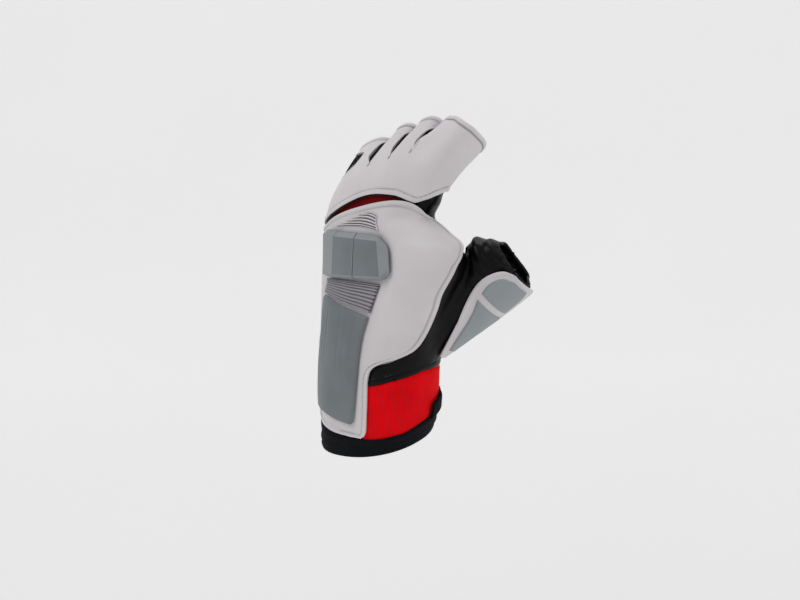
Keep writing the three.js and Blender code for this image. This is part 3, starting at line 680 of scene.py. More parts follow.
def moulded_rubber(name, dark, light, rough_low, rough_high):
    # Injection-moulded soft rubber: an even satin face with a fine spark-eroded texture, a little paler
    # along its raised edges.
    material, tree, where = start(name)
    tone = add(tree, "TexNoise", None, {"Vector": where, "Scale": 35.0, "Detail": 4.0})
    spark = add(tree, "TexNoise", None, {"Vector": where, "Scale": 1 / (0.5 * MM), "Detail": 2.0})
    # Paler where the mesh's pointiness is high, along the raised edges
    edge_pointiness = add(tree, "NewGeometry").outputs["Pointiness"]
    edges = add(tree, "MapRange", None, {0: edge_pointiness, 1: 0.52, 2: 0.6, 3: 0.0, 4: 0.3})
    blend = add(tree, "Math", {"operation": "ADD", "use_clamp": True}, {
        0: tone.outputs["Fac"], 1: edges.outputs[0],
    })
    colour = ramp(tree, blend.outputs[0], (0.3, dark), (0.8, light))
    rough = add(tree, "MapRange", None, {0: tone.outputs["Fac"], 3: rough_low, 4: rough_high})
    bump = add(tree, "Bump", None, {"Strength": 0.2, "Distance": 0.05 * MM, "Height": spark.outputs["Fac"]})
    finish_material(
        tree, Base_Color=colour, Roughness=rough.outputs[0], Normal=bump.outputs["Normal"],
        Specular_IOR_Level=0.45,
    )
    return material


def twisted_thread(name, dark, light):
    # Bonded nylon sewing thread: a soft gloss, with its two plies as fine slanting lines.
    material, tree, where = start(name)
    plies = add(tree, "TexWave", {"wave_type": "BANDS", "bands_direction": "DIAGONAL"}, {
        "Vector": where, "Scale": bands(0.4),
    })
    colour = ramp(tree, plies.outputs["Fac"], (0.2, dark), (0.8, light))
    bump = add(tree, "Bump", None, {"Strength": 0.3, "Distance": 0.05 * MM, "Height": plies.outputs["Fac"]})
    finish_material(tree, Base_Color=colour, Roughness=0.5, Normal=bump.outputs["Normal"])
    return material


def pale_studio_paper():
    # Matt paper backdrop lit from behind, with only a trace of uneven tone
    material, tree, where = start("matt_backdrop_paper")
    tone = add(tree, "TexNoise", None, {"Vector": where, "Scale": 2.0, "Detail": 2.0})
    colour = ramp(tree, tone.outputs["Fac"], (0.3, "#f2f2f2"), (0.7, "#f4f4f4"))
    finish_material(
        tree, Base_Color=colour, Roughness=0.9, Emission_Color=(1, 1, 1, 1), Emission_Strength=0.38,
    )
    return material


WHITE = smooth_white_leather()
BLACK = glossy_black_leather()
RED = rib_knit("red_rib_knit_polyester", "#c8010a", "#f20011", 1.4, 0.0)
# The same red knit made darker for the knuckle slit: painted shade
SHADED_RED = rib_knit("deep_red_rib_knit_polyester", "#5c0206", "#8a060c", 1.4, 0.0)
CUFF_KNIT = rib_knit("black_padded_jersey", "#090a0c", "#15161a", 1.2, 0.02, 0.08)
NET = rib_knit("black_knitted_net", "#0f1112", "#26292b", 1.0, 0.1)
GREY = moulded_rubber("moulded_grey_rubber", "#6b7175", "#7c8387", 0.42, 0.55)
GREY_FRAME = moulded_rubber("moulded_pale_grey_rubber", "#888e90", "#999fa1", 0.42, 0.55)
INLAY_GREY = moulded_rubber("moulded_soft_grey_rubber", "#90979a", "#9da4a7", 0.45, 0.58)
BAR = moulded_rubber("moulded_lilac_grey_rubber", "#8f8c93", "#a3a0a6", 0.45, 0.58)
# Dark grey for the ribs' grooves and the louvres' slots: painted shade
GROOVE_SHADE = moulded_rubber("moulded_dark_grey_rubber", "#514e56", "#636068", 0.5, 0.65)
PALE_THREAD = twisted_thread("bonded_grey_nylon_thread", "#85808a", "#a8a3a9")
DARK_THREAD = twisted_thread("bonded_black_nylon_thread", "#1b1c20", "#36383d")


# Camera, at the angle of a front quarter view from a little above
aim = Vector((-0.0046114, 0.0241275, 0.081505))
camera_data = bpy.data.cameras.new("camera")
camera_data.lens = 56.25
camera_data.sensor_width = 36
camera = bpy.data.objects.new("camera", camera_data)
camera.location = (0.50997, -0.49045, 0.26295)
camera.rotation_euler = (aim - camera.location).to_track_quat("-Z", "Y").to_euler()
bpy.context.scene.collection.objects.link(camera)
bpy.context.scene.camera = camera


# Hems
HEM_LIP, HEM_EASE = 0.7, 0.8
GROOVE_HALF, SHADE_HALF = 0.4, 0.45


def hem_relief(face, hem=HEM, rise=0.55, seam=SEAM, dip=0.22):
    """A turned hem along the edges: a flat raised strip, then the groove that its seam pulls in"""

    def lift(near):
        strip = (0.4 + 0.6 * smooth(near / HEM_LIP)) * (1 - smooth((near - hem) / HEM_EASE))
        return face + rise * strip - dip * bell(near - seam, GROOVE_HALF)

    return lift


# Painted shade in a seam's groove: 1 on the seam line, fading to either side
def seam_painted_shade(near, seam=SEAM):
    return bell(near - seam, SHADE_HALF)


# Back panel
def back_place(across, up, lift):
    """The back panel, with the corners at the stem's foot rounded"""
    row = spline(BACK, up * (len(BACK) - 1))
    below = max(0.0, STEM_CORNER - (row.low_right - BACK[0].low_right) * WRIST_ROW)
    pull = (STEM_CORNER - math.sqrt(STEM_CORNER**2 - below**2)) * DEGREES_PER_MM
    theta = row.left + pull + (row.right - row.left - 2 * pull) * across
    return hand_point(theta, height_at(row, across), lift)


back_hem = hem_relief(PANEL_FACE)


def back_relief(at):
    near = near_edge(at)
    soft = noise.noise(Vector((at.left * 0.03, at.low * 0.035, 1.3))) * 0.35
    return back_hem(near) + soft * smooth((near - 4) / 10)


piece(
    "back_leather",
    lay(
        back_place, graded(64, 9, 0.04), graded(84, 8, 0.03), back_relief,
        # Painted shade along the hem's seam
        seam_shading=lambda at: 0.45 * seam_painted_shade(near_edge(at)),
    ),
    WHITE, ["back_panel"], PANEL_WALL, 0.4,
)

pale_sewing = bmesh.new()
for side in ("left", "right", "low", "high"):
    run = edge_run(back_place, side, SEAM, 0.03, 0.97, 160)
    sew(pale_sewing, *on_surface(back_place, run, PANEL_FACE - 0.05))


# Finger panel
FINGER_COLUMNS = 22
KNUCKLE_ROW = 7.2
INDEX_WRAP = 75
SIDE_ROLL, SIDE_ROLL_COLUMNS = 0.3, 0.9


def finger_low(theta):
    return flow(FINGER_LOW, theta, 3)


def finger_angle(index, share, v):
    """The angle round a finger of a column of the panel. Past 1 it goes on round the index finger."""
    cover = flow(COVER, v, 0.05)
    left = (flow(LITTLE_COVER, v, 0.05), -cover, -cover, -CLOSED_COVER)[index]
    right = (cover, cover, flow(MIDDLE_COVER, v, 0.03), 90)[index]
    if share > 1:
        return right + (share - 1) * INDEX_WRAP
    return left + (right - left) * share


def hand_angle(index, share):
    """The angle round the hand of a column of the panel, below the fingers"""
    row, _, centre, half = finger_shape(FINGERS[index], KNUCKLE_ROW)
    phi = finger_angle(index, share, KNUCKLE_ROW)
    across = centre + half * power(math.sin(math.radians(phi)), 2 / FINGER_SQUARE)
    part = min(1.0, abs(across) / (row.ulnar if across < 0 else row.radial))
    turn = math.degrees(math.asin(part ** (row.square / 2)))
    return math.copysign(180 - turn if abs(phi) > 90 else turn, across)


panel_columns = [(i, t) for i in range(4) for t in steps(0, 1, FINGER_COLUMNS)]
panel_columns += [(3, 1 + t) for t in steps(0, 1, 12)[1:]]
column_angle = [hand_angle(i, t) for i, t in panel_columns]
column_low = [finger_low(theta) for theta in column_angle]


def fingers_place(column, up, lift):
    """The finger panel. up runs from 0 at its lower edge to 1 at the slits and 2 at the ends."""
    index, share = panel_columns[column]
    finger = FINGERS[index]
    if up <= 1:
        v = between((column_low[column], SLIT_START), up)
    else:
        end = finger_end_at(finger, finger_angle(index, share, finger.end))
        v = between((SLIT_START, end), up - 1)
    on_finger = finger_point(finger, finger_angle(index, share, v), v, lift)
    hand, fingers = HAND_TO_FINGER
    if v > fingers:
        return on_finger
    on_hand = hand_point(column_angle[column], v, lift, seated=False)
    return on_hand.lerp(on_finger, smooth((v - hand) / (fingers - hand)))


finger_hem = hem_relief(FINGER_FACE, rise=0.5)
finger_end = hem_relief(FINGER_FACE, hem=2.2, rise=0.4, seam=END_SEAM, dip=0.3)


def fingers_relief(at):
    """Hems below and at the ends, and a fine roll along the sides of the windows"""
    index, share = panel_columns[at.across]
    lift = finger_hem(at.low) + finger_end(at.high) - FINGER_FACE
    beside_window = share <= (0.5 if index == 3 else 1)
    if at.up > 1 and beside_window:
        side = min(share, 1 - share) * FINGER_COLUMNS / SIDE_ROLL_COLUMNS
        lift += SIDE_ROLL * math.sqrt(max(0.0, 1 - (side - 1) ** 2))
    return lift


# Painted shade in the seam grooves: faint along the lower hem, strong along the finger ends
def fingers_seam_shading(at):
    return max(0.45 * seam_painted_shade(at.low), 0.95 * seam_painted_shade(at.high, END_SEAM))


fingers_across = list(range(len(panel_columns)))
fingers_up = [0.02 * k for k in range(7)] + steps(0.15, 1, 22)[:-1] + [1 + t for t in steps(0, 1, 34)]
fingers_mesh = lay(fingers_place, fingers_across, fingers_up, fingers_relief, seam_shading=fingers_seam_shading)
slit_row = fingers_up.index(1.0)
slit_columns = {FINGER_COLUMNS + k * (FINGER_COLUMNS + 1) for k in range(3)}
slit_cells = []
for k, face in enumerate(fingers_mesh.faces):
    j, i = divmod(k, len(fingers_across) - 1)
    if i in slit_columns and j >= slit_row:
        slit_cells.append(face)
bmesh.ops.delete(fingers_mesh, geom=slit_cells, context="FACES")
piece("finger_leather", fingers_mesh, WHITE, ["finger_panel"], FINGER_WALL, 0.3)


def share_from(column, inset, top):
    """The height on a column of the finger panel that lies a distance from its end"""
    rows = list(reversed(fingers_up)) if top else fingers_up
    points = [fingers_place(column, u, 0.0) for u in rows]
    at = lengths(points)
    for k in range(1, len(at)):
        if at[k] >= inset:
            t = (inset - at[k - 1]) / (at[k] - at[k - 1])
            return rows[k - 1] + (rows[k] - rows[k - 1]) * t
    return rows[-1]


def sew_columns(start, stop, inset, top, lift, **stitch):
    """Sews along the finger panel's lower edge or its ends, between two columns"""
    run = [(k, share_from(k, inset, top)) for k in range(start, stop + 1)]
    sew(pale_sewing, *on_surface(fingers_place, run, lift), **stitch)


last_column = len(panel_columns) - 1
sew_columns(1, last_column - 1, SEAM, False, FINGER_FACE - 0.1)
for index in range(4):
    first = index * (FINGER_COLUMNS + 1)
    last = first + FINGER_COLUMNS if index < 3 else last_column
    sew_columns(first + 1, last - 1, END_SEAM, True, FINGER_FACE - 0.15, pitch=2.2, length=1.7)

# Tacks: three short bars of thread across the foot of each slit
for column in sorted(slit_columns):
    for height in (0.985, 0.955, 0.925):
        run = [(k, height) for k in (column - 2, column, column + 3)]
        points, outs = on_surface(fingers_place, run, FINGER_FACE + 0.1)
        sew(pale_sewing, points, outs, pitch=9, length=2.4, thick=0.45)

piece("pale_stitches", pale_sewing, PALE_THREAD)


# Knuckle slit: red knit, darkened as painted shade, with a black piping along the leather above it
KNUCKLE_SPAN = (-76, 54)
PIPING_SPAN = (-78, 53)
PIPING_RADIUS = 0.5


def back_top_at(theta):
    top = BACK[-1]
    return height_at(top, (theta - top.left) / (top.right - top.left))


def knuckle_place(across, up, lift):
    theta = between(KNUCKLE_SPAN, across)
    low, high = back_top_at(theta) - 0.2, finger_low(theta) + 0.2
    return hand_point(theta, low + (high - low) * up, KNUCKLE_FACE + lift)


knuckle_mesh = lay(
    knuckle_place, steps(0, 1, 90), steps(0, 1, 10), lambda at: -0.7 * math.sin(math.pi * at.up)
)
knuckle_cut = cut_size(knuckle_mesh)
knuckle = piece("knuckle_rib_knit", knuckle_mesh, SHADED_RED, ["knuckle_knit"], KNUCKLE_WALL)
piping = bmesh.new()
run = [(theta, finger_low(theta) - 0.014) for theta in steps(*PIPING_SPAN, 150)]
points, outs = on_surface(lambda theta, v, lift: hand_point(theta, v, lift, seated=False), run, -0.1)
cord_along(piping, points, outs, PIPING_RADIUS)
piece("slit_piping", piping, BLACK)


# Gusset: a triangle of black leather beside the slit, drawn up in soft pleats
GUSSET_LOW, GUSSET_HIGH = (53, 96), (53, 103)
GUSSET_FACE = -1.8


def gusset_place(across, up, lift):
    low, high = between(GUSSET_LOW, across), between(GUSSET_HIGH, across)
    v = between((back_top_at(low) - 0.12, finger_low(high) + 0.2), up)
    return hand_point(between((low, high), up), v, GUSSET_FACE + lift)


def gusset_relief(at):
    pleat = math.sin(at.across * 15 + 3 * at.up) * 0.3
    return (0.3 + pleat) * math.sin(math.pi * at.up) * smooth(at.across * 5)


piece(
    "slit_gusset", lay(gusset_place, steps(0, 1, 40), steps(0, 1, 24), gusset_relief),
    BLACK, ["side_gusset"], 1.3,
)

# Finger sleeves: the black lining that shows inside the ends and through the slits
for finger in FINGERS:

    def sleeve_place(across, up, lift, finger=finger):
        phi = (360 * across + 180) % 360 - 180
        v = between((SLEEVE_START, finger_end_at(finger, phi) - 0.03), up)
        return finger_point(finger, phi, v, SLEEVE_FACE + lift)

    piece(
        "finger_lining_" + finger.name,
        lay(
            sleeve_place, steps(0, 1, 64), steps(0, 1, 18),
            lambda at: 0.25 * noise.noise(Vector((at.across * 9, at.low * 0.12, len(finger.name)))),
            ring=True,
        ),
        BLACK, ["finger_sleeve_" + finger.name], SLEEVE_WALL,
    )


# Net windows
NET_SPAN, NET_FACE = (8.44, 9.32), -0.3
LITTLE_NET_SPAN, LITTLE_NET_START, LITTLE_NET_FACE = (8.42, 9.26), -114, 1.0


def net_window(name, place, node, columns, rows):
    bm = lay(place, steps(0, 1, columns), steps(0, 1, rows))
    bmesh.ops.wireframe(
        bm, faces=bm.faces[:], thickness=0.36 * MM, offset=0, use_replace=True,
        use_boundary=True, use_even_offset=True,
    )
    piece(name, bm, NET, [node])


def between_place(left, right):
    """A net from the side of one finger to the next"""

    def place(across, up, lift):
        v = between(NET_SPAN, up)
        cover = flow(COVER, v, 0.05)
        a = finger_point(left, cover, v, lift + NET_FACE)
        b = finger_point(right, -cover, v, lift + NET_FACE)
        return a.lerp(b, across)

    return place


def little_side_place(across, up, lift):
    """The net on the little finger's outer side, tucked under the leather beside it"""
    v = between(LITTLE_NET_SPAN, up)
    phi = between((LITTLE_NET_START, flow(LITTLE_COVER, v, 0.05) + 4), across)
    tucked = 1.2 * smooth((across - 0.8) / 0.2)
    return finger_point(FINGERS[0], phi, v, lift + LITTLE_NET_FACE - tucked)


net_window("net_little_ring", between_place(FINGERS[0], FINGERS[1]), "finger_mesh_ring", 14, 15)
net_window("net_ring_middle", between_place(FINGERS[1], FINGERS[2]), "finger_mesh_middle", 14, 15)
net_window("net_little_side", little_side_place, "finger_mesh_little", 26, 16)


# Palm and thumb: one skin of black leather
PALM_SPAN = (1.82, 8.42)
VOXEL = 1.45
ROOT_SPAN, ROOT_REACH = (0.2, 2.0), 36
TIP_REACH, TIP_CUT = 34, 0.5
HELD_REACH = 12
UNDERLAP = 3.2
FINGER_TRIM, SIDE_TRIM = 8.36, 6.0


def closed_tube(place, around, along):
    bm = lay(place, steps(0, 1, around), steps(0, 1, along), ring=True)
    rims = [e for e in bm.edges if e.is_boundary]
    bmesh.ops.holes_fill(bm, edges=rims, sides=0)
    bmesh.ops.recalc_face_normals(bm, faces=bm.faces[:])
    return bm


core = closed_tube(
    lambda a, u, lift: hand_point(360 * a, between(PALM_SPAN, u), PALM_FACE + lift), 96, 70,
)
thumb_core = closed_tube(
    lambda a, u, lift: thumb_point(360 * a, THUMB_TOP * u, THUMB_FACE + lift), 64, 40,
)
joined = bpy.data.meshes.new("skin")
thumb_core.to_mesh(joined)
core.from_mesh(joined)
thumb_core.free()
core.to_mesh(joined)
core.free()
skin = bpy.data.objects.new("skin", joined)
bpy.context.scene.collection.objects.link(skin)
remesh = skin.modifiers.new("one skin", "REMESH")
remesh.mode = "VOXEL"
remesh.voxel_size = VOXEL * MM
leather = bmesh.new()
leather.from_object(skin, bpy.context.evaluated_depsgraph_get())
bpy.data.objects.remove(skin)
bpy.data.meshes.remove(joined)


def tree_of(spots):
    tree = kdtree.KDTree(len(spots))
    for k, spot in enumerate(spots):
        tree.insert(spot, k)
    tree.balance()
    return tree


# The same surface as a cloud of known spots, to tell where on the hand each point lies
hand_spots = [(theta, v / 20) for v in range(20, 182) for theta in range(-180, 180, 2)]
hand_tree = tree_of([hand_point(*spot, 0) for spot in hand_spots])
edge_spots = [
    back_place(*spot, 0) for u in steps(0, 1, 240) for spot in ((0, u), (1, u), (u, 0), (u, 1))
]
edge_spots += [fingers_place(k, 0.0, 0) for k in range(len(panel_columns))]
edge_spots += [fingers_place(k, u, 0) for k in (0, last_column) for u in fingers_up]
edge_tree = tree_of(edge_spots)
RIGHT_EDGE = [(row.low_right, row.right) for row in BACK]
LEFT_EDGE = [(row.low_left, row.left) for row in BACK]


def read_spot(point):
    """Where a point lies: its angle and height on the hand, how far out it is and which way out is,
    and how far it is from the white panels' edge, which is negative under them"""
    near, k, _ = hand_tree.find(point)
    theta, v = hand_spots[k]
    out = (hand_point(theta, v, 1) - near).normalized()
    away = (point - near).dot(out)
    edge = (point - edge_tree.find(point)[0]).length
    under = look(LEFT_EDGE, v) < theta < look(RIGHT_EDGE, v) and v < back_top_at(theta)
    beneath = column_angle[0] < theta < column_angle[-1] and v > max(6.8, finger_low(theta))
    return theta, v, away, out, -edge if under or beneath else edge


PAD_LEFT = [(row.v, row.left) for row in PAD]
PAD_RIGHT = [(row.v, row.right) for row in PAD]


def clear_of_pad(turn, v):
    """0 under the thumb's pad, rising to 1 a few millimetres outside it"""
    beside = max(look(PAD_LEFT, v) - turn, turn - look(PAD_RIGHT, v)) * 0.3
    beyond = max(PAD[0].v - v, v - PAD[-1].v) * THUMB_ROW
    return smooth(max(beside, beyond) / 4.0)


def thumb_place_of(point):
    """Where a point lies on the thumb: its height and angle, and how far it is from the middle"""
    along = (point - thumb_start).dot(thumb_axis)
    centre = thumb_start + thumb_axis * along
    side = point - centre
    theta = math.degrees(math.atan2(side.dot(thumb_web), side.dot(thumb_back)))
    return THUMB_TOP * along / (thumb_stop - thumb_start).length, theta, side.length


# Soften the fold where the thumb leaves the palm
for _ in range(14):
    close = []
    for vert in leather.verts:
        on_thumb, _, reach = thumb_place_of(vert.co / MM)
        if ROOT_SPAN[0] < on_thumb < ROOT_SPAN[1] and reach < ROOT_REACH:
            close.append(vert)
    bmesh.ops.smooth_vert(
        leather, verts=close, factor=0.5, use_axis_x=True, use_axis_y=True, use_axis_z=True
    )

# Open the thumb's end
geom = [f for f in leather.faces if (f.calc_center_median() / MM - thumb_stop).length < TIP_REACH]
geom += list({e for f in geom for e in f.edges}) + list({v for f in geom for v in f.verts})
bmesh.ops.bisect_plane(
    leather, geom=geom, dist=1e-6, plane_co=(thumb_stop - thumb_axis * TIP_CUT) * MM, plane_no=thumb_axis,
    clear_outer=True,
)

FOLDS = table(
    "v theta spread width height",
    (2.86, 74, 52, 2.0, 2.8),
    (2.62, 104, 50, 9.0, 4.6),
    (2.58, 96, 40, 2.2, 1.8),
    (2.3, 62, 50, 2.6, 1.6),
    (1.95, 86, 44, 3.0, 2.0),
    (1.58, 66, 44, 3.6, 1.3),
    (2.8, 10, 45, 1.8, 1.4),
    (2.8, -150, 60, 1.9, 1.8),
    (2.5, -165, 55, 2.2, 1.6),
    (2.2, 170, 50, 2.4, 1.2),
)


def folded(on_thumb, turn):
    """The height of the thumb's folds, in mm"""
    lift = 0.0
    for fold in FOLDS:
        off = (turn - fold.theta + 180) % 360 - 180
        wander = 0.1 * noise.noise(Vector((turn * 0.035, fold.v * 5, 0.4)))
        along = (on_thumb - fold.v - wander) * THUMB_ROW
        lift += fold.height * bell(along, fold.width) * bell(off, fold.spread)
    return lift


spots = {}
for vert in leather.verts:
    point = vert.co / MM
    theta, v, away, out, edge = read_spot(point)
    spots[vert] = (theta, v, away, edge)
    # The panel holds the leather down along its edge
    cap = -1.0 + 1.1 * max(0.0, edge)
    if edge < HELD_REACH and away > cap:
        point += out * (cap - away)
    on_thumb, turn, _ = thumb_place_of(point)
    lift = folded(on_thumb, turn) if on_thumb > 0.8 and away > 3 else 0.0
    crumple = noise.ridged_multi_fractal(point * 0.055, 1.0, 2.1, 3, 1.0, 1.6)
    strength = 0.35 + 0.3 * smooth((on_thumb - 1.2) / 1.2) if away > 2 else 0.35
    lift += (crumple - 1.1) * strength * smooth((edge - 1) / 6)
    if away > 2 and on_thumb > 0.2:
        clear = clear_of_pad(turn, on_thumb)
        lift *= clear
        turned = math.radians(turn)
        pleats = 1 + 0.35 * math.sin(turned * 4 + 1) + 0.2 * math.sin(turned * 7)
        centre = thumb_start + (thumb_stop - thumb_start) * on_thumb / THUMB_TOP
        point += (centre - point) * 0.2 * pleats * smooth((on_thumb - 2.5) / 0.5) * clear
    vert.co = (point + vert.normal * lift) * MM

# Trim it under the panels, at the wrist and between the fingers
gone = []
for face in leather.faces:
    known = [spots[vert] for vert in face.verts]
    theta, v = known[0][:2]
    away, edge = (sum(k[i] for k in known) / len(known) for i in (2, 3))
    on_thumb = thumb_place_of(face.calc_center_median() / MM)[0]
    is_thumb = away > 2.2 and on_thumb > 0.3
    low = flow(PALM_LOW, max(20, theta % 360), 3)
    outside = v < low or v > FINGER_TRIM
    beside = v > SIDE_TRIM and look(PALM_RIGHT, v) + 4 < theta < look(PALM_LEFT, v) - 4
    if edge < -UNDERLAP or (not is_thumb and (outside or beside)):
        gone.append(face)
bmesh.ops.delete(leather, geom=gone, context="FACES")

# Even out its cut edges
for _ in range(10):
    moved = {}
    for vert in (v for v in leather.verts if v.is_boundary):
        next_to = [e.other_vert(vert).co for e in vert.link_edges if e.is_boundary]
        if next_to:
            moved[vert] = (vert.co + sum(next_to, Vector()) / len(next_to)) / 2
    for vert, co in moved.items():
        vert.co = co
bmesh.ops.recalc_face_normals(leather, faces=leather.faces[:])
piece("palm_and_thumb_leather", leather, BLACK, ["palm", "thumb_sleeve"], PALM_WALL)


# Wrist knit
KNIT_SPAN, PALM_HEM_SPAN = (21, 306.5), (27.5, 304.5)
CUFF_START = -46


def cuff_top(theta):
    return flow(CUFF_TOP, (theta - CUFF_START) % 360 + CUFF_START, 4)


def knit_place(across, up, lift):
    theta = between(KNIT_SPAN, across)
    v = between((cuff_top(theta) - 0.05, flow(PALM_LOW, theta, 3) + 0.06), up)
    return hand_point(theta, v, KNIT_FACE + lift)


def knit_relief(at):
    tucked = -1.3 * (1 - smooth((at.high - 0.5) / 3)) - 0.9 * (1 - smooth(min(at.left, at.right) / 3))
    ripple = 0.5 * noise.noise(Vector((at.left * 0.05, at.low * 0.02, 2.0)))
    return tucked + ripple + 0.5 * math.sin(math.pi * at.up)


knit_mesh = lay(knit_place, steps(0, 1, 180), steps(0, 1, 30), knit_relief)
knit_cut = cut_size(knit_mesh)
wrist = piece("wrist_rib_knit", knit_mesh, RED, ["wrist_knit"], KNIT_WALL)


# Hem of the palm's leather over the knit
def palm_hem_place(across, up, lift):
    theta = between(PALM_HEM_SPAN, across)
    return hand_point(theta, flow(PALM_LOW, theta, 3) - 0.02 + 0.2 * up, PALM_FACE + lift)


def palm_hem_relief(at):
    roll = math.sqrt(max(0.0, 1 - (2 * at.up - 1) ** 2))
    return -0.9 + 1.2 * roll


piece(
    "palm_hem", lay(palm_hem_place, steps(0, 1, 180), steps(0, 1, 10), palm_hem_relief), BLACK,
    wall=1.0,
)
dark_sewing = bmesh.new()
run = edge_run(palm_hem_place, "high", 0.1, 0.01, 0.99, 220)
sew(dark_sewing, *on_surface(palm_hem_place, run, -0.1))


# Padded cuff: a closed roll in three channels
CUFF_CHANNELS, CHANNEL_DEPTH = (0.36, 0.68), 0.7
CUFF_HALF_WALL = 1.25
CUFF_SQUARE = 0.55


def cuff_height(up):
    return 0.5 + 0.5 * power(math.sin(2 * math.pi * up), CUFF_SQUARE)


def cuff_place(across, up, lift):
    theta = CUFF_START + 360 * across
    out = (CUFF_HALF_WALL + lift) * power(math.cos(2 * math.pi * up), CUFF_SQUARE)
    return hand_point(theta, (cuff_top(theta) - 0.02) * cuff_height(up), out - 0.1)


def cuff_relief(at):
    pull = sum(bell(cuff_height(at.up) - c, 0.07) for c in CUFF_CHANNELS)
    return 0.25 - CHANNEL_DEPTH * pull


cuff_mesh = lay(cuff_place, steps(0, 1, 150), steps(0, 1, 40), cuff_relief, ring=True)
bmesh.ops.recalc_face_normals(cuff_mesh, faces=cuff_mesh.faces[:])
cuff = piece("padded_cuff", cuff_mesh, CUFF_KNIT, ["cuff"])


# Strap: webbing over the cuff, whose end stands up as a tab
STRAP_SPAN, STRAP_FACE = (99, 231), 1.5
TAB_HEIGHT, TAB_END = 1.3, 118


def strap_place(across, up, lift):
    theta = between(STRAP_SPAN, across)
    v = cuff_top(theta) - 0.1 + 0.46 * up
    tab = TAB_HEIGHT * (1 - smooth((theta - TAB_END) / 10))
    return hand_point(theta, v, STRAP_FACE + tab + lift)


strap_mesh = lay(
    strap_place, steps(0, 1, 70), steps(0, 1, 8),
    lambda at: -0.3 * (1 - smooth(min(at.low, at.high) / 1.0)),
)
strap_cut = cut_size(strap_mesh)
strap = piece("wrist_strap_webbing", strap_mesh, CUFF_KNIT, ["wrist_strap"], 1.3, 0.3)


# Guard plate: a long moulded shell with a chamfered edge and faint flutes
plate_place = table_place(PLATE, hand_point)
FLUTES, FLUTE_DEPTH = (0.24, 0.34, 0.66, 0.76, 0.86), 0.28


def plate_relief(at):
    chamfer = (PLATE_HEIGHT - PLATE_EDGE) * smooth(near_edge(at) / 1.8)
    flutes = sum(bell(at.across - c, 0.018) for c in FLUTES)
    upper_half = smooth((at.up - 0.5) / 0.1) * smooth((1 - at.up) / 0.1)
    return PLATE_EDGE + chamfer - FLUTE_DEPTH * flutes * upper_half


piece(
    "moulded_plate", lay(plate_place, graded(60, 6, 0.08), graded(70, 6, 0.04), plate_relief),
    GREY, ["guard_plate"], 0.75, 0.2,
)

# Lower ribs: nine rounded bars, with the grooves between them coloured dark grey as painted shade
RIBS, RIB_FOOT, RIB_HEIGHT = 9, 2.2, 1.25


def from_middle(at, count):
    """How far a place is from the middle of its rib, as a share of the ribs' pitch"""
    return abs(at.up * count - math.floor(at.up * count) - 0.5)


def rib_shape(at):
    reach = 0.4 * math.sqrt(max(0.0, 1 - (max(0.0, abs(2 * at.across - 1) - 0.9) / 0.1) ** 2))
    off = from_middle(at, RIBS)
    return math.sqrt(max(0.0, 1 - (off / reach) ** 2)) if reach > 0.02 and off < reach else 0.0


across, up = graded(40, 8, 0.08), steps(0, 1, RIBS * 10)
ribs_mesh = lay(
    table_place(LOWER_RIBS, hand_point), across, up, lambda at: RIB_FOOT + RIB_HEIGHT * rib_shape(at)
)
second_material(ribs_mesh, across, up, rib_shape, 0)
piece("lower_rib_bars", ribs_mesh, [GROOVE_SHADE, BAR], ["lower_ribs"], 0.45)

# Upper ribs: six slots between louvres, coloured dark grey as painted shade, shorter towards the knuckles
SLOTS, LOUVRE_FOOT, LOUVRE_SLOPE, SLOT_DEPTH = 6, 1.8, 0.5, 1.1


def slot_shape(at):
    wide = 0.2 * smooth((at.across - 0.04) / 0.4) * smooth((0.975 - at.across) / 0.02)
    off = from_middle(at, SLOTS)
    return 1 - smooth((off - wide * 0.7) / (wide * 0.5 + 0.01)) if wide > 0.02 else 0.0


def louvre_relief(at):
    rim = smooth(near_edge(at) / 1.6)
    slope = LOUVRE_SLOPE * (1 - (at.up * SLOTS) % 1)
    return LOUVRE_FOOT + (0.5 + slope - SLOT_DEPTH * slot_shape(at)) * rim


across, up = graded(60, 8, 0.05), steps(0, 1, SLOTS * 12)
louvres = lay(table_place(UPPER_RIBS, hand_point), across, up, louvre_relief)
second_material(louvres, across, up, slot_shape, 0.5)
piece("upper_louvres", louvres, [WHITE, GROOVE_SHADE], ["upper_ribs"], 0.35, 0.2)

# Guard block: three flat facets with softened bevels, paler than the facets
FACET_AREA = 150
for name in ("ulnar", "centre", "radial"):
    bm = bmesh.new()
    bm.from_mesh(bpy.data.objects["guard_block_" + name].data)
    bmesh.ops.remove_doubles(bm, verts=bm.verts[:], dist=1e-5)
    bmesh.ops.dissolve_limit(bm, angle_limit=math.radians(1.5), verts=bm.verts[:], edges=bm.edges[:])
    bmesh.ops.bevel(
        bm, geom=[e for e in bm.edges if e.calc_face_angle(0) > math.radians(9)], offset=0.35 * MM,
        offset_type="OFFSET", segments=2, profile=0.5, affect="EDGES", material=-1, clamp_overlap=True,
    )
    for face in bm.faces:
        face.material_index = 0 if face.calc_area() > FACET_AREA * MM**2 else 1
    piece("moulded_facet_" + name, bm, [GREY, GREY_FRAME], ["guard_block_" + name])


# Thumb pad: a teardrop of white leather that frames two moulded inlays
pad_place = table_place(PAD, thumb_point)
pad_hem = hem_relief(0.7, hem=1.8, rise=0.4, seam=2.3, dip=0.15)
INLAY_EDGE, INLAY_CROWN = 0.95, 0.75
piece(
    "thumb_pad_leather",
    lay(pad_place, graded(50, 6, 0.06), graded(80, 6, 0.03), lambda at: pad_hem(near_edge(at))),
    WHITE, ["thumb_pad"], 1.2, 0.3,
)
for name, rows in (("base", INLAY_BASE), ("tip", INLAY_TIP)):
    across = up = graded(30, 5, 0.08)
    inlay = lay(
        table_place(rows, thumb_point), across, up,
        lambda at: INLAY_EDGE + INLAY_CROWN * smooth(near_edge(at)),
    )
    piece(
        "moulded_inlay_" + name, inlay, INLAY_GREY, ["thumb_inlay_" + name], 0.6, 0.15,
    )
piece("dark_stitches", dark_sewing, DARK_THREAD)


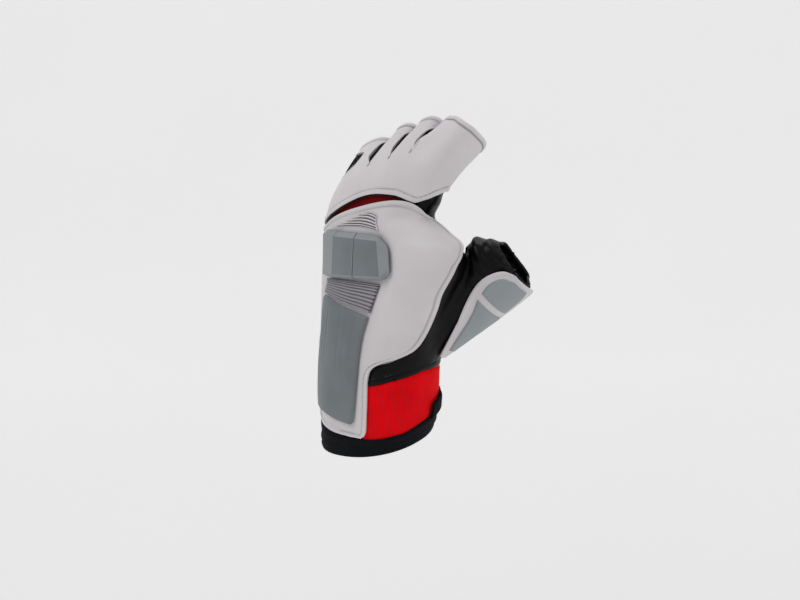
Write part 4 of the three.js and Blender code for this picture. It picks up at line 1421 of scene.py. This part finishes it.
# Backdrop: paper that lies flat under the glove and sweeps up behind it, in metres
PAPER_HALF, PAPER_LEVEL = 4, -0.32
SWEEP_START, SWEEP = 1.2, 2.2

backdrop = bmesh.new()
bmesh.ops.create_grid(backdrop, x_segments=40, y_segments=60, size=1.0)
for vert in backdrop.verts:
    side, away = vert.co.x * PAPER_HALF, vert.co.y * PAPER_HALF
    rise = max(0.0, away - SWEEP_START)
    turn = min(1.0, rise / SWEEP) * math.pi / 2
    height = SWEEP * (1 - math.cos(turn)) + max(0.0, rise - SWEEP)
    far = min(away, SWEEP_START) + SWEEP * math.sin(turn)
    turned = Matrix.Rotation(math.radians(45), 3, "Z") @ Vector((side, far, 0))
    vert.co = (turned.x, turned.y, PAPER_LEVEL + height)
paper_mesh = bpy.data.meshes.new("backdrop")
backdrop.to_mesh(paper_mesh)
backdrop.free()
paper_mesh.shade_smooth()
paper = bpy.data.objects.new("backdrop", paper_mesh)
bpy.context.scene.collection.objects.link(paper)
paper_mesh.materials.append(pale_studio_paper())

# Soft studio light: an even pale room, and three large lamps that light the glove alone
world = bpy.data.worlds.new("studio")
world.use_nodes = True
world.node_tree.nodes["Background"].inputs["Color"].default_value = (1, 1, 1, 1)
world.node_tree.nodes["Background"].inputs["Strength"].default_value = 0.42
bpy.context.scene.world = world
lit = bpy.data.collections.new("lit by the lamps")
for made in bpy.context.scene.collection.objects:
    if made.type == "MESH" and made != paper:
        lit.objects.link(made)
LIGHTS = table(
    "name place size watts",
    ("key", (-0.35, -0.75, 1.05), 0.7, 5.0),
    ("rim", (1.1, 0.25, 0.75), 0.8, 3.0),
    ("top", (-0.3, 0.6, 1.2), 0.6, 3.0),
)
for lamp in LIGHTS:
    data = bpy.data.lights.new(lamp.name, "AREA")
    data.energy = lamp.watts
    data.size = lamp.size
    light = bpy.data.objects.new(lamp.name, data)
    light.location = lamp.place
    light.rotation_euler = (Vector((0, 0, 0.1)) - light.location).to_track_quat("-Z", "Y").to_euler()
    light.light_linking.receiver_collection = lit
    bpy.context.scene.collection.objects.link(light)
bpy.context.scene.view_settings.view_transform = "Standard"
